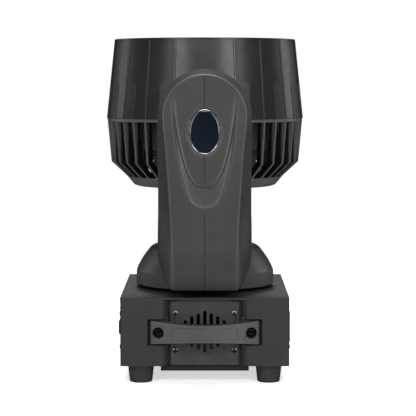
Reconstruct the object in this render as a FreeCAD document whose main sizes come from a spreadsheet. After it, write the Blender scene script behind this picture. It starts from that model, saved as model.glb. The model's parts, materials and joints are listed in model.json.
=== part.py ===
import FreeCAD, Part
import math
import os
import re
import Sketcher
from FreeCAD import Placement, Rotation, Vector

# A moving head wash light, in millimetres. The floor is z = 0, the pan axis is Z and the tilt axis
# is parallel to Y. The fixed base stands on four feet, the yoke turns on the base, and the head
# tilts between the yoke's two arms.

DIMENSIONS = {
    # base housing
    "base_half_x": 96.5,
    "base_half_y": 118.0,
    "base_bottom": 20.8,
    "base_top": 99.5,
    "cover_wall": 2.5,
    "cover_seam": 0.2,
    "corner_return": 102.0,
    "cover_edge_x": 42.0,
    "cover_curve_x": 55.0,
    "plate_recess": 7.0,
    "steel": 1.5,
    "chassis_half_x": 94.0,
    "chassis_end": 110.0,
    "chassis_top": 96.6,
    "floor_half_y": 107.0,
    "end_wall_x": 41.5,
    "side_wall_y": 114.5,
    "cable_hole": 22.0,
    "opening_low": 36.0,
    "opening_high": 84.0,
    "hole_gap": 0.1,
    "board_low": 30.0,
    "board_top": 31.6,
    # feet and the mounting plate
    "foot_x": 73.5,
    "foot_y": 96.0,
    "foot_top_radius": 15.3,
    "foot_base_radius": 13.0,
    "plate_half_x": 50.5,
    "plate_half_y": 107.0,
    "plate_thickness": 3.0,
    "plate_lip_low": 13.8,
    "lock_x": 35.0,
    "lock_y": 70.0,
    "lock_radius": 5.5,
    "clamp_tap_radius": 4.25,
    "tether_y": 88.0,
    "tether_radius": 6.0,
    # end grille, screws and carrying handles
    "vent_half_x": 38.7,
    "vent_pitch": 7.4,
    "vent_width": 3.6,
    "vent_z": 59.7,
    "vent_screw_x": 33.6,
    "vent_screw_low": 38.3,
    "vent_screw_high": 80.8,
    "screw_radius": 2.8,
    "screw_shank": 1.5,
    "screw_height": 1.0,
    "panel_screw_y": 110.0,
    "panel_screw_low": 42.5,
    "panel_screw_high": 80.7,
    "pocket_half_x": 65.5,
    "pocket_half_height": 15.1,
    "handle_half_x": 61.5,
    "handle_end_y": 119.5,
    "handle_bow": 15.0,
    "handle_grip_x": 44.0,
    "handle_thickness": 9.0,
    "handle_end_height": 27.0,
    "handle_mid_height": 20.0,
    "handle_bolt_x": 53.0,
    "handle_panel_x": 37.5,
    "handle_panel_z": 6.75,
    "bolt_sink_radius": 6.5,
    "bolt_head_radius": 5.6,
    "bolt_shank": 3.0,
    # control panel
    "bezel_start_y": -90.0,
    "bezel_end_y": -10.0,
    "bezel_low": 53.6,
    "bezel_high": 68.6,
    "bezel_proud": 3.0,
    "window_start_y": -86.0,
    "window_end_y": -54.0,
    "window_half_height": 4.6,
    "button_first_y": -45.0,
    "button_pitch": 9.5,
    "button_radius": 3.2,
    "button_proud": 3.6,
    "button_travel": 0.8,
    # connector panel
    "socket_z": 60.0,
    "dmx_in_y": -76.0,
    "dmx_out_y": -42.0,
    "fuse_y": -15.0,
    "power_out_y": 22.0,
    "power_in_y": 76.0,
    "flange": 2.0,
    "flange_half_y": 25.0,
    "flange_half_z": 14.0,
    "shell_half_y": 13.6,
    "shell_half_z": 9.8,
    "mouth_half_y": 12.4,
    "mouth_half_z": 8.4,
    "data_flange_half_y": 13.0,
    "data_flange_half_z": 15.5,
    "data_shell_radius": 11.6,
    "data_bore_in": 9.4,
    "data_bore_out": 9.6,
    # pan drive
    "pan_shaft_radius": 17.5,
    "pan_shaft_bore": 12.0,
    "pan_bearing_radius": 28.0,
    "bearing_low": 89.0,
    "bearing_high": 97.6,
    "pan_pulley_radius": 34.0,
    "pan_pulley_low": 79.0,
    "pulley_height": 9.0,
    "pulley_flange": 1.0,
    "motor_pulley_radius": 8.0,
    "belt_gap": 0.3,
    "belt_thickness": 1.8,
    "motor_half": 21.0,
    "motor_bevel": 4.0,
    "motor_boss_radius": 11.0,
    "motor_shaft_radius": 2.5,
    "bearing_plate_low": 92.0,
    "bearing_plate_high": 95.0,
    "bearing_plate_y": 62.0,
    "pan_motor_y": 64.0,
    "fit_gap": 0.05,
    # yoke
    "skirt_low": 103.8,
    "skirt_radius": 82.4,
    "skirt_wall_top": 118.8,
    "skirt_shoulder_radius": 68.0,
    "skirt_shoulder_z": 143.0,
    "skirt_top_radius": 58.0,
    "skirt_top": 150.0,
    "arm_inner": 121.5,
    "arm_outer": 166.0,
    "arm_half_width": 53.2,
    "face_half_low": 37.1,
    "face_half_waist": 39.7,
    "face_half_mid": 43.0,
    "face_half_top": 46.6,
    "bend_y": 116.5,
    "bend_z": 157.0,
    "bend_inner": 5.0,
    "bend_outer": 49.5,
    "tilt_z": 306.0,
    "arm_shaft_hole": 12.5,
    "frame_low": 110.2,
    "frame_half_x": 30.0,
    "frame_arm": 148.0,
    "frame_plate": 2.0,
    "badge_z": 289.0,
    "badge_half_x": 17.25,
    "badge_half_z": 25.0,
    "badge_thickness": 1.8,
    "badge_seat": 1.0,
    "channel_depth": 1.1,
    "channel_top": 331.0,
    "cover_screw_angle": 24.0,
    "cover_screw_near": 23.3,
    "cover_screw_far": 29.5,
    # tilt drive
    "tilt_shaft_radius": 9.0,
    "tilt_shaft_bore": 5.5,
    "tilt_bearing_radius": 14.0,
    "tilt_motor_z": 215.0,
    "tilt_pulley_radius": 30.0,
    "tilt_pulley_y": 153.0,
    # head
    "head_top": 394.5,
    "head_seam": 301.4,
    "shroud_top_radius": 107.0,
    "shroud_low_radius": 116.8,
    "shroud_wall": 2.5,
    "rib_proud": 0.6,
    "rib_width": 2.4,
    "short_rib_top": 340.6,
    "aperture_radius": 100.0,
    "basket_top_radius": 116.3,
    "basket_mid_radius": 112.0,
    "basket_mid_z": 250.0,
    "basket_bowl_radius": 93.2,
    "basket_bowl_z": 232.5,
    "basket_floor_radius": 84.7,
    "basket_floor_z": 222.3,
    "basket_low": 221.0,
    "fin_depth": 9.0,
    "fin_width": 2.4,
    "fin_count": 40,
    "fin_top": 298.0,
    "bracket_y": 84.0,
    "bracket_half_x": 56.0,
    "bracket_low": 254.0,
    "wing_near": 62.0,
    "wing_mid": 85.0,
    "wing_far": 97.0,
    "wing_step": 252.0,
    "wing_low": 240.0,
    "sink_low": 264.0,
    "sink_base_low": 326.0,
    "sink_base_high": 334.0,
    "sink_radius": 98.0,
    "sink_fin_radius": 83.0,
    "sink_fin_pitch": 7.0,
    "sink_fin_half": 0.8,
    "led_board_thickness": 1.6,
    "lens_ring_one": 40.0,
    "lens_ring_two": 79.0,
    "lens_radius": 18.0,
    "lens_plate_z": 376.0,
    "lens_plate_thickness": 2.5,
    "lens_plate_radius": 99.0,
    "zoom_radius": 60.0,
    "zoom_motor_radius": 8.0,
    "zoom_screw_radius": 2.0,
    "guide_radius": 3.0,
    "fan_half": 60.0,
    "fan_low": 233.0,
    "fan_height": 25.0,
    "fan_bore": 58.0,
    "fan_hub": 20.0,
}

document = FreeCAD.newDocument("MovingHeadLight")
sheet = document.addObject("Spreadsheet::Sheet", "Dims")
for row, (alias, value) in enumerate(DIMENSIONS.items(), start=1):
    sheet.set(f"A{row}", alias)
    sheet.set(f"B{row}", str(value))
    sheet.setAlias(f"B{row}", alias)
document.recompute()

ALIASES = re.compile(r"\b(" + "|".join(sorted(DIMENSIONS, key=len, reverse=True)) + r")\b")
TURN = {
    "+Z": Rotation(),
    "-Z": Rotation(Vector(1, 0, 0), 180),
    "+Y": Rotation(Vector(1, 0, 0), -90),
    "-Y": Rotation(Vector(1, 0, 0), 90),
    "+X": Rotation(Vector(0, 1, 0), 90),
    "-X": Rotation(Vector(0, 1, 0), -90),
}
subparts = []


# ---- helpers that bind sizes to the sheet ----------------------------------------------------

def formula(text):
    """Names the sheet in front of every alias in an expression."""
    return ALIASES.sub(r"Dims.\1", str(text))


def size(text):
    """The present value of an expression of sheet aliases."""
    return float(sheet.evalExpression(formula(text)))


def bind(thing, **expressions):
    for name, text in expressions.items():
        thing.setExpression(name, formula(text))
    return thing


def place(thing, spot, turn="+Z"):
    """Turns a thing and binds its position to three expressions."""
    rotation = TURN[turn] if isinstance(turn, str) else turn
    thing.Placement = Placement(Vector(*(size(text) for text in spot)), rotation)
    for letter, text in zip("xyz", spot):
        thing.setExpression(f"Placement.Base.{letter}", formula(text))
    return thing


def block(low, high, name="Block"):
    """A box between two corners."""
    box = document.addObject("Part::Box", name)
    length, width, height = (f"({top}) - ({bottom})" for bottom, top in zip(low, high))
    bind(box, Length=length, Width=width, Height=height)
    return place(box, low)


def rod(radius, spot, length, turn="+Z", name="Rod"):
    """A cylinder that starts at a spot and runs along a row axis."""
    cylinder = document.addObject("Part::Cylinder", name)
    bind(cylinder, Radius=radius, Height=length)
    return place(cylinder, spot, turn)


def taper(start_radius, end_radius, spot, length, turn="+Z", name="Taper"):
    cone = document.addObject("Part::Cone", name)
    bind(cone, Radius1=start_radius, Radius2=end_radius, Height=length)
    return place(cone, spot, turn)


def fuse(*shapes, name="Fusion"):
    fusion = document.addObject("Part::MultiFuse", name)
    fusion.Shapes = list(shapes)
    return fusion


def gather(*shapes, name="Group"):
    """Separate solids kept side by side in one object."""
    compound = document.addObject("Part::Compound", name)
    compound.Links = list(shapes)
    return compound


def cut(base, *tools, name="Cut"):
    result = document.addObject("Part::Cut", name)
    result.Base = base
    result.Tool = tools[0] if len(tools) == 1 else fuse(*tools, name="Tools")
    return result


def common(first, second, name="Common"):
    result = document.addObject("Part::Common", name)
    result.Base = first
    result.Tool = second
    return result


def tube(outer, inner, spot, length, turn="+Z", name="Tube"):
    return cut(rod(outer, spot, length, turn), rod(inner, spot, length, turn), name=name)


def repeat(thing, places, name="Copies"):
    """One copy of a thing at each place; a place is three expressions and a turn."""
    links = []
    for spot, turn in places:
        link = document.addObject("App::Link", "Copy")
        link.LinkedObject = thing
        links.append(place(link, spot, turn))
    return gather(*links, name=name)


def around_z(angle):
    return Rotation(Vector(0, 0, 1), angle)


def subpart(label, thing):
    """Marks a finished piece: its label is the name of its file."""
    thing.Label = label
    subparts.append(thing)
    return thing


def origin_plane(body, role):
    return next(item for item in body.Origin.OriginFeatures if item.Role == role)


def arc_through(start, end, radius):
    """An arc from start to end, turning left for a positive radius and right for a negative one."""
    chord = end - start
    height = math.sqrt(radius * radius - chord.Length ** 2 / 4)
    left = Vector(-chord.y, chord.x, 0).normalize()
    centre = start + chord / 2 + left * math.copysign(height, radius)
    middle = centre + (start + chord / 2 - centre).normalize() * abs(radius)
    ends = (start, end) if radius > 0 else (end, start)
    return Part.Arc(ends[0], middle, ends[1])


def pin_point(sketch, geometry, position, corner, name):
    """Fixes a point of a sketch at two expressions."""
    for kind, axis, text, letter in (("DistanceX", -2, corner[0], "x"), ("DistanceY", -1, corner[1], "y")):
        if abs(size(text)) < 1e-9:
            sketch.addConstraint(Sketcher.Constraint("PointOnObject", geometry, position, axis))
            continue
        index = sketch.addConstraint(Sketcher.Constraint(kind, -1, 1, geometry, position, size(text)))
        sketch.renameConstraint(index, name + letter)
        sketch.setExpression(f"Constraints.{name}{letter}", formula(text))


def draw_outline(sketch, corners):
    """Draws a closed outline. A corner is (x, y), or (x, y, radius) when an arc leads to it."""
    points = [Vector(size(corner[0]), size(corner[1]), 0) for corner in corners]
    ends = []
    for index, corner in enumerate(corners):
        start, end = points[index - 1], points[index]
        curved = len(corner) == 3
        edge = arc_through(start, end, size(corner[2])) if curved else Part.LineSegment(start, end)
        geometry = sketch.addGeometry(edge, False)
        backwards = curved and size(corner[2]) < 0
        ends.append((geometry, 2 if backwards else 1, 1 if backwards else 2))
        if curved:
            radius = sketch.addConstraint(Sketcher.Constraint("Radius", geometry, abs(size(corner[2]))))
            sketch.renameConstraint(radius, f"radius{geometry}")
            sketch.setExpression(f"Constraints.radius{geometry}", formula(f"abs({corner[2]})"))
    for index, corner in enumerate(corners):
        geometry, _, last = ends[index]
        following, first, _ = ends[(index + 1) % len(corners)]
        sketch.addConstraint(Sketcher.Constraint("Coincident", geometry, last, following, first))
        pin_point(sketch, geometry, last, corner, f"p{geometry}")


def draw_circle(sketch, centre, radius):
    spot = Vector(size(centre[0]), size(centre[1]), 0)
    geometry = sketch.addGeometry(Part.Circle(spot, Vector(0, 0, 1), size(radius)), False)
    index = sketch.addConstraint(Sketcher.Constraint("Radius", geometry, size(radius)))
    sketch.renameConstraint(index, f"radius{geometry}")
    sketch.setExpression(f"Constraints.radius{geometry}", formula(radius))
    pin_point(sketch, geometry, 3, centre, f"c{geometry}")


def sketch_on(body, role):
    sketch = body.newObject("Sketcher::SketchObject", "Sketch")
    sketch.AttachmentSupport = (origin_plane(body, role), [""])
    sketch.MapMode = "FlatFace"
    return sketch


def turned(corners, name="Turned"):
    """A solid of revolution about Z; the corners are (radius, z)."""
    body = document.addObject("PartDesign::Body", name)
    sketch = sketch_on(body, "XZ_Plane")
    draw_outline(sketch, corners)
    document.recompute()
    revolution = body.newObject("PartDesign::Revolution", "Revolution")
    revolution.Profile = sketch
    revolution.ReferenceAxis = (sketch, ["V_Axis"])
    revolution.Angle = 360
    return body


def prism(corners, low, thickness, circles=(), role="XY_Plane", name="Prism"):
    """An outline with round holes, padded along the plane's normal from a low level."""
    body = document.addObject("PartDesign::Body", name)
    sketch = sketch_on(body, role)
    draw_outline(sketch, corners)
    for centre, radius in circles:
        draw_circle(sketch, centre, radius)
    sketch.setExpression("AttachmentOffset.Base.z", formula(low))
    document.recompute()
    pad = body.newObject("PartDesign::Pad", "Pad")
    pad.Profile = sketch
    bind(pad, Length=thickness)
    return body


def rectangle(half_x, half_y):
    left, front = f"-({half_x})", f"-({half_y})"
    return [(left, front), (half_x, front), (half_x, half_y), (left, half_y)]


def feature(shape, name="Feature"):
    """A shape that no sketch or primitive gives."""
    made = document.addObject("Part::Feature", name)
    made.Shape = shape
    made.Placement = Placement()
    return made


# ---- base: chassis, mounting plate and feet --------------------------------------------------

def chassis():
    """Folded steel tray: a floor, two long walls with openings and two short end walls."""
    solids = [block((f"-{half_x}", f"-{half_y}", "base_bottom"), (half_x, half_y, "base_bottom+steel"))
              for half_x, half_y in (("chassis_half_x", "floor_half_y"), ("end_wall_x", "chassis_end"))]
    for low, high in (("-chassis_half_x", "steel-chassis_half_x"),
                      ("chassis_half_x-steel", "chassis_half_x")):
        solids.append(block((low, "-side_wall_y", "base_bottom"), (high, "side_wall_y", "chassis_top")))
    for low, high in (("-chassis_end", "steel-chassis_end"), ("chassis_end-steel", "chassis_end")):
        solids.append(block(("-end_wall_x", low, "base_bottom"), ("end_wall_x", high, "chassis_top")))
    openings = [
        block(("-vent_half_x+10", "-chassis_end-1", "32"), ("vent_half_x-10", "chassis_end+1", "88")),
        block(("-chassis_half_x-1", "bezel_start_y-6", "opening_low"),
              ("-chassis_half_x+3", "bezel_end_y+6", "opening_high")),
        block(("chassis_half_x-3", "1-corner_return", "opening_low"),
              ("chassis_half_x+1", "corner_return", "opening_high")),
        rod("clamp_tap_radius+2", ("0", "0", "base_bottom-1"), "4"),
        rod("tether_radius+1", ("0", "tether_y", "base_bottom-1"), "4"),
    ]
    clear = "screw_shank+hole_gap"
    for end in (-1, 1):
        for side in (-1, 1):
            wall_x = sorted((f"{side}*(chassis_half_x-4)", f"{side}*(chassis_half_x+1)"), key=size)[0]
            for z in ("vent_screw_low", "vent_screw_high"):
                spot = (f"{side}*vent_screw_x", f"{end}*chassis_end-4", z)
                openings.append(rod(clear, spot, "8", "+Y"))
            for z in ("panel_screw_low", "panel_screw_high"):
                openings.append(rod(clear, (wall_x, f"{end}*panel_screw_y", z), "5", "+X"))
            openings.append(rod(clear, (f"{side}*foot_x", f"{end}*foot_y", "base_bottom-1"), "4"))
            openings.append(rod("lock_radius+1", (f"{side}*lock_x", f"{end}*lock_y", "base_bottom-1"), "4"))
    return cut(fuse(*solids), *openings, name="Chassis")


subpart("base_chassis", chassis())

plate_holes = [((f"{side}*lock_x", f"{end}*lock_y"), "lock_radius") for side in (-1, 1) for end in (-1, 1)]
plate_holes += [(("0", "0"), "clamp_tap_radius"), (("0", "tether_y"), "tether_radius")]
mounting_plate = [prism(rectangle("plate_half_x", "plate_half_y"), "base_bottom-plate_thickness",
                        "plate_thickness", plate_holes)]
for ends in (("-plate_half_y", "-plate_half_y+plate_thickness"), ("plate_half_y-plate_thickness", "plate_half_y")):
    mounting_plate.append(block(("-plate_half_x", ends[0], "plate_lip_low"),
                                ("plate_half_x", ends[1], "base_bottom")))
subpart("mounting_plate", fuse(*mounting_plate))

foot = turned([("screw_shank+hole_gap", "7"), ("screw_radius+2", "7"), ("screw_radius+2", "0"),
               ("foot_base_radius-1.2", "0"), ("foot_base_radius", "1.2", "1.2*1.01"),
               ("foot_top_radius", "base_bottom"), ("screw_shank+hole_gap", "base_bottom")])
foot_places = [((f"{side}*foot_x", f"{end}*foot_y", "0"), "+Z") for side in (-1, 1) for end in (-1, 1)]
subpart("rubber_feet", repeat(foot, foot_places))


# ---- base: plastic end covers ----------------------------------------------------------------

def base_cover(end):
    """Half of the plastic housing: a top, an end wall that curves in to the grille, two corners."""
    sweep = "((cover_curve_x-cover_edge_x)^2+plate_recess^2)/(2*plate_recess)"
    face, inside = "base_half_y", "(base_half_y-cover_wall)"
    solids = []
    for side in (-1, 1):
        bend = side * end
        corners = [
            (f"{side}*base_half_x", f"{end}*corner_return"),
            (f"{side}*base_half_x", f"{end}*({face}-3)"),
            (f"{side}*(base_half_x-3)", f"{end}*{face}", f"{bend}*3.001"),
            (f"{side}*cover_curve_x", f"{end}*{face}"),
            (f"{side}*cover_edge_x", f"{end}*({face}-plate_recess)", f"{bend}*({sweep})"),
            (f"{side}*cover_edge_x", f"{end}*({inside}-plate_recess-1)"),
            (f"{side}*cover_curve_x", f"{end}*({inside}-1)", f"{-bend}*({sweep})"),
            (f"{side}*(base_half_x-cover_wall)", f"{end}*{inside}"),
            (f"{side}*(base_half_x-cover_wall)", f"{end}*corner_return"),
        ]
        solids.append(prism(corners, "base_bottom", "base_top-base_bottom-1"))
        xs = sorted((f"{side}*cover_edge_x", f"{side}*(pocket_half_x+cover_wall)"), key=size)
        ys = sorted((f"{end}*({face}-plate_recess-cover_wall)", f"{end}*({inside}-1)"), key=size)
        solids.append(block((xs[0], ys[0], "vent_z-pocket_half_height-cover_wall"),
                            (xs[1], ys[1], "vent_z+pocket_half_height+cover_wall")))
    near, far = sorted((f"{end}*cover_seam/2", f"{end}*{face}"), key=size)
    solids.append(block(("-base_half_x", near, "base_top-cover_wall"), ("base_half_x", far, "base_top")))
    pocket_ys = sorted((f"{end}*({face}-plate_recess)", f"{end}*({face}+1)"), key=size)
    cutters = [
        block(("-pocket_half_x", pocket_ys[0], "vent_z-pocket_half_height"),
              ("pocket_half_x", pocket_ys[1], "vent_z+pocket_half_height")),
        rod("cable_hole", ("0", "0", "base_top-5"), "10"),
    ]
    for side in (-1, 1):
        start = sorted((f"{side}*(base_half_x-4)", f"{side}*(base_half_x+1)"), key=size)[0]
        for z in ("panel_screw_low", "panel_screw_high"):
            cutters.append(rod("screw_shank+hole_gap", (start, f"{end}*panel_screw_y", z), "5", "+X"))
        depth = sorted((f"{end}*({face}-12)", f"{end}*({face}-6)"), key=size)[0]
        cutters.append(rod("bolt_shank+0.2", (f"{side}*handle_bolt_x", depth, "vent_z"), "8", "+Y"))
    return cut(fuse(*solids), *cutters, name="BaseCover")


subpart("base_cover_left", base_cover(-1))
subpart("base_cover_right", base_cover(1))


def vent_plate():
    """Flat steel grille with seven upright slots, longest in the middle, and an arched top edge."""
    low, high = "(base_bottom+0.3)", "(base_top-cover_wall-0.3)"
    corners = [("-vent_half_x", low), ("vent_half_x", low), ("vent_half_x", f"{high}-2.4"),
               ("-vent_half_x", f"{high}-2.4", "vent_half_x^2/4.2+1.05")]
    holes = [((f"{side}*vent_screw_x", z), "screw_shank+hole_gap")
             for side in (-1, 1) for z in ("vent_screw_low", "vent_screw_high")]
    plate = prism(corners, "0", "steel", holes, role="XZ_Plane")
    slots = []
    for index, length in enumerate((26, 35, 41, 47.3, 41, 35, 26)):
        middle = f"{index - 3}*vent_pitch"
        straight = f"({length}-vent_width)/2"
        slots.append(block((f"{middle}-vent_width/2", "-3", f"vent_z-{straight}"),
                           (f"{middle}+vent_width/2", "3", f"vent_z+{straight}")))
        for sign in (-1, 1):
            slots.append(rod("vent_width/2", (middle, "-3", f"vent_z+{sign}*{straight}"), "6", "+Y"))
    return cut(plate, *slots, name="VentPlate")


grille = vent_plate()
subpart("vent_plates", repeat(grille, [(("0", "-chassis_end", "0"), "+Z"),
                                       (("0", "chassis_end", "0"), around_z(180))]))

screw = turned([("0", "-4"), ("screw_shank", "-4"), ("screw_shank", "0"), ("screw_radius", "0"),
                ("screw_radius", "screw_height*0.4"),
                ("screw_radius*0.6", "screw_height", "screw_radius*1.2"),
                ("screw_radius*0.25", "screw_height"), ("0", "screw_height-0.6")])
screw_places = []
for end, outward in ((-1, "-Y"), (1, "+Y")):
    for side, sideways in ((-1, "-X"), (1, "+X")):
        for z in ("vent_screw_low", "vent_screw_high"):
            screw_places.append(((f"{side}*vent_screw_x", f"{end}*(chassis_end+steel)", z), outward))
        for z in ("panel_screw_low", "panel_screw_high"):
            screw_places.append(((f"{side}*base_half_x", f"{end}*panel_screw_y", z), sideways))
foot_screw = turned([("0", "6"), ("screw_radius", "6"), ("screw_radius", "7"), ("screw_shank", "7"),
                     ("screw_shank", "base_bottom+3"), ("0", "base_bottom+3")])
subpart("base_screws", gather(repeat(screw, screw_places), repeat(foot_screw, foot_places)))


# ---- base: carrying handles ------------------------------------------------------------------

def handle():
    """A bar bowed away from the end wall, thinner and lower at the grip than at its two pads."""
    outer = "(handle_half_x^2+handle_bow^2)/(2*handle_bow)"
    rise = "(handle_bow-2.5)"
    inner = f"(handle_grip_x^2+{rise}^2)/(2*{rise})"
    back = "-(base_half_y-plate_recess)"
    plan = [("-handle_half_x", back), ("-handle_half_x", "-handle_end_y"),
            ("handle_half_x", "-handle_end_y", outer), ("handle_half_x", back),
            ("handle_grip_x", back), ("-handle_grip_x", back, f"-({inner})")]
    dip = "(handle_end_height-handle_mid_height)/2"
    waist = f"(handle_half_x^2+({dip})^2)/(2*({dip}))"
    half = "handle_end_height/2"
    front = [("-handle_half_x", f"-({half})"), ("handle_half_x", f"-({half})", f"-({waist})"),
             ("handle_half_x", half), ("-handle_half_x", half, f"-({waist})")]
    bar = common(prism(plan, f"vent_z-{half}", "handle_end_height"),
                 place(prism(front, "0", "60", role="XZ_Plane"), ("0", "-90", "vent_z")))
    panel = block(("-handle_panel_x", "-handle_end_y-handle_bow-1", "vent_z-handle_panel_z"),
                  ("handle_panel_x", "-handle_end_y", "vent_z+handle_panel_z"))
    behind = rod(f"{outer}-0.8", ("0", f"{outer}-handle_end_y-handle_bow", "vent_z-10"), "20")
    cutters = [cut(panel, behind)]
    for side in (-1, 1):
        spot = (f"{side}*handle_bolt_x", "-(handle_end_y-1)", "vent_z")
        cutters.append(rod("bolt_sink_radius", spot, "10", "-Y"))
        cutters.append(rod("bolt_shank+0.2", (spot[0], "-(base_half_y+10)", "vent_z"), "20", "+Y"))
    return cut(bar, *cutters, name="Handle")


left_handle = handle()
subpart("handle_left", left_handle)
subpart("handle_right", repeat(left_handle, [(("0", "0", "0"), around_z(180))]))

bolt = cut(turned([("0", "-14"), ("bolt_shank", "-14"), ("bolt_shank", "0"), ("bolt_head_radius", "0"),
                   ("bolt_head_radius", "1.2"), ("bolt_head_radius*0.55", "3.4", "bolt_head_radius*1.3"),
                   ("0", "3.4")]),
           rod("2", ("0", "0", "1.4"), "3"), name="Bolt")
bolt_places = [((f"{side}*handle_bolt_x", f"{end}*(handle_end_y-1)", "vent_z"), outward)
               for side in (-1, 1) for end, outward in ((-1, "-Y"), (1, "+Y"))]
subpart("handle_bolts", repeat(bolt, bolt_places))


# ---- base: control panel ---------------------------------------------------------------------

PANEL_LOW = "(base_bottom+0.3)"
PANEL_HIGH = "(base_top-cover_wall-0.3)"
BEZEL_Z = "(bezel_low+bezel_high)/2"
BUTTONS = ("menu_button", "up_button", "down_button", "enter_button")
button_ys = [f"button_first_y+{index}*button_pitch" for index in range(len(BUTTONS))]

control_plate = block(("-base_half_x", "0.3-corner_return", PANEL_LOW),
                      ("steel-base_half_x", "corner_return-0.3", PANEL_HIGH))
control_window = block(("-base_half_x-1", "bezel_start_y+2", "bezel_low+2"),
                       ("3-base_half_x", "bezel_end_y-2", "bezel_high-2"))
subpart("control_panel", cut(control_plate, control_window))

bezel_body = fuse(
    block(("-base_half_x-bezel_proud", "bezel_start_y", "bezel_low"),
          ("-base_half_x", "bezel_end_y", "bezel_high")),
    block(("-base_half_x", "bezel_start_y+2.2", "bezel_low+2.2"),
          ("2-base_half_x", "bezel_end_y-2.2", "bezel_high-2.2")))
bezel_cutters = [block(("-base_half_x-bezel_proud-1", "window_start_y", f"{BEZEL_Z}-window_half_height"),
                       ("-base_half_x-bezel_proud+1.5", "window_end_y", f"{BEZEL_Z}+window_half_height"))]
for y in button_ys:
    bezel_cutters.append(rod("button_radius+0.3", ("3-base_half_x", y, BEZEL_Z), "8", "-X"))
subpart("display_bezel", cut(bezel_body, *bezel_cutters))
subpart("display_window", block(
    ("-base_half_x-bezel_proud+0.3", "window_start_y", f"{BEZEL_Z}-window_half_height"),
    ("-base_half_x-bezel_proud+1.5", "window_end_y", f"{BEZEL_Z}+window_half_height")))
for name, y in zip(BUTTONS, button_ys):
    face = "(base_half_x+button_proud)"
    cap = rod("button_radius", (f"-{face}+0.6", y, BEZEL_Z), "button_proud+2.9", "+X")
    crown = taper("button_radius-0.6", "button_radius", (f"-{face}", y, BEZEL_Z), "0.6", "+X")
    collar = rod("button_radius+0.9", ("2.6-base_half_x", y, BEZEL_Z), "0.9", "+X")
    subpart(name, fuse(cap, crown, collar, name="Button"))
subpart("control_board", fuse(
    block(("6.5-base_half_x", "bezel_start_y-4", "38"), ("8.1-base_half_x", "bezel_end_y+4", "82")),
    *[rod("2.4", ("4.6-base_half_x", y, BEZEL_Z), "2", "+X") for y in button_ys],
    block(("8-base_half_x", "-70", "44"), ("11-base_half_x", "-56", "58")),
    block(("8-base_half_x", "-44", "66"), ("18-base_half_x", "-20", "74"))))


# ---- base: connector panel -------------------------------------------------------------------

connector_plate = block(("base_half_x-steel", "0.3-corner_return", PANEL_LOW),
                        ("base_half_x", "corner_return-0.3", PANEL_HIGH))
connector_holes = [rod("12", ("base_half_x-3", y, "socket_z"), "5", "+X") for y in ("dmx_in_y", "dmx_out_y")]
connector_holes.append(rod("6.2", ("base_half_x-3", "fuse_y", "socket_z"), "5", "+X"))
for y in ("power_out_y", "power_in_y"):
    connector_holes.append(block(("base_half_x-3", f"{y}-13.9", "socket_z-10.1"),
                                 ("base_half_x+2", f"{y}+13.9", "socket_z+10.1")))
connector_holes.append(block(("base_half_x-3", "dmx_out_y-3.4", "socket_z"),
                             ("base_half_x+2", "dmx_out_y+3.4", "socket_z+14.2")))
subpart("connector_panel", cut(connector_plate, *connector_holes))


def power_socket(y, outlet):
    """Screw-on mains connector: a flange with two screws and a box that reaches inside."""
    flange = block(("base_half_x", f"{y}-flange_half_y", "socket_z-flange_half_z"),
                   ("base_half_x+flange", f"{y}+flange_half_y", "socket_z+flange_half_z"))
    shell = block(("base_half_x-22", f"{y}-shell_half_y", "socket_z-shell_half_z"),
                  ("base_half_x", f"{y}+shell_half_y", "socket_z+shell_half_z"))
    mouth = block(("base_half_x-16", f"{y}-mouth_half_y", "socket_z-mouth_half_z"),
                  ("base_half_x+flange+1", f"{y}+mouth_half_y", "socket_z+mouth_half_z"))
    if outlet:
        tongue = block(("base_half_x-16", f"{y}-9.5", "socket_z-5.6"),
                       ("base_half_x+flange", f"{y}+9.5", "socket_z+5.6"))
        contact = [block(("base_half_x-10", f"{y}+{dy}-1.3", f"socket_z+{dz}-2.6"),
                         ("base_half_x+flange+1", f"{y}+{dy}+1.3", f"socket_z+{dz}+2.6"))
                   for dy, dz in ((-6.5, -1.6), (0, 1.6), (6.5, -1.6))]
        return fuse(cut(fuse(flange, shell), mouth), cut(tongue, *contact))
    return cut(fuse(flange, shell), mouth)


subpart("power_inlet", power_socket("power_in_y", outlet=False))
subpart("power_outlet", power_socket("power_out_y", outlet=True))
subpart("fuse_holder", cut(
    fuse(rod("8", ("base_half_x", "fuse_y", "socket_z"), "flange", "+X"),
         rod("6", ("base_half_x-26", "fuse_y", "socket_z"), "30", "+X")),
    block(("base_half_x+2.6", "fuse_y-4.5", "socket_z-0.6"),
          ("base_half_x+5", "fuse_y+4.5", "socket_z+0.6"))))


def data_flange(y):
    low = ("base_half_x", f"{y}-data_flange_half_y", "socket_z-data_flange_half_z")
    high = ("base_half_x+flange", f"{y}+data_flange_half_y", "socket_z+data_flange_half_z")
    return fuse(block(low, high), rod("data_shell_radius", ("base_half_x-19", y, "socket_z"), "19", "+X"))


subpart("dmx_in", cut(data_flange("dmx_in_y"),
                      rod("data_bore_in", ("base_half_x-15", "dmx_in_y", "socket_z"), "20", "+X")))
data_pins = [(f"{4.6 * math.cos(angle):.3f}", f"{4.6 * math.sin(angle):.3f}")
             for angle in (math.radians(degrees) for degrees in (0, 180, 270))]
female_insert = rod("7.8", ("base_half_x-15", "dmx_out_y", "socket_z"), "15", "+X")
female_bores = [rod("1.4", ("base_half_x-9", f"dmx_out_y+{dy}", f"socket_z+{dz}"), "12", "+X")
                for dy, dz in data_pins]
latch_slot = block(("base_half_x-7", "dmx_out_y-3.3", "socket_z+8.6"),
                   ("base_half_x+flange+1", "dmx_out_y+3.3", "socket_z+14.1"))
subpart("dmx_out", fuse(
    cut(data_flange("dmx_out_y"),
        rod("data_bore_out", ("base_half_x-15", "dmx_out_y", "socket_z"), "20", "+X"), latch_slot),
    cut(female_insert, *female_bores)))
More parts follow.
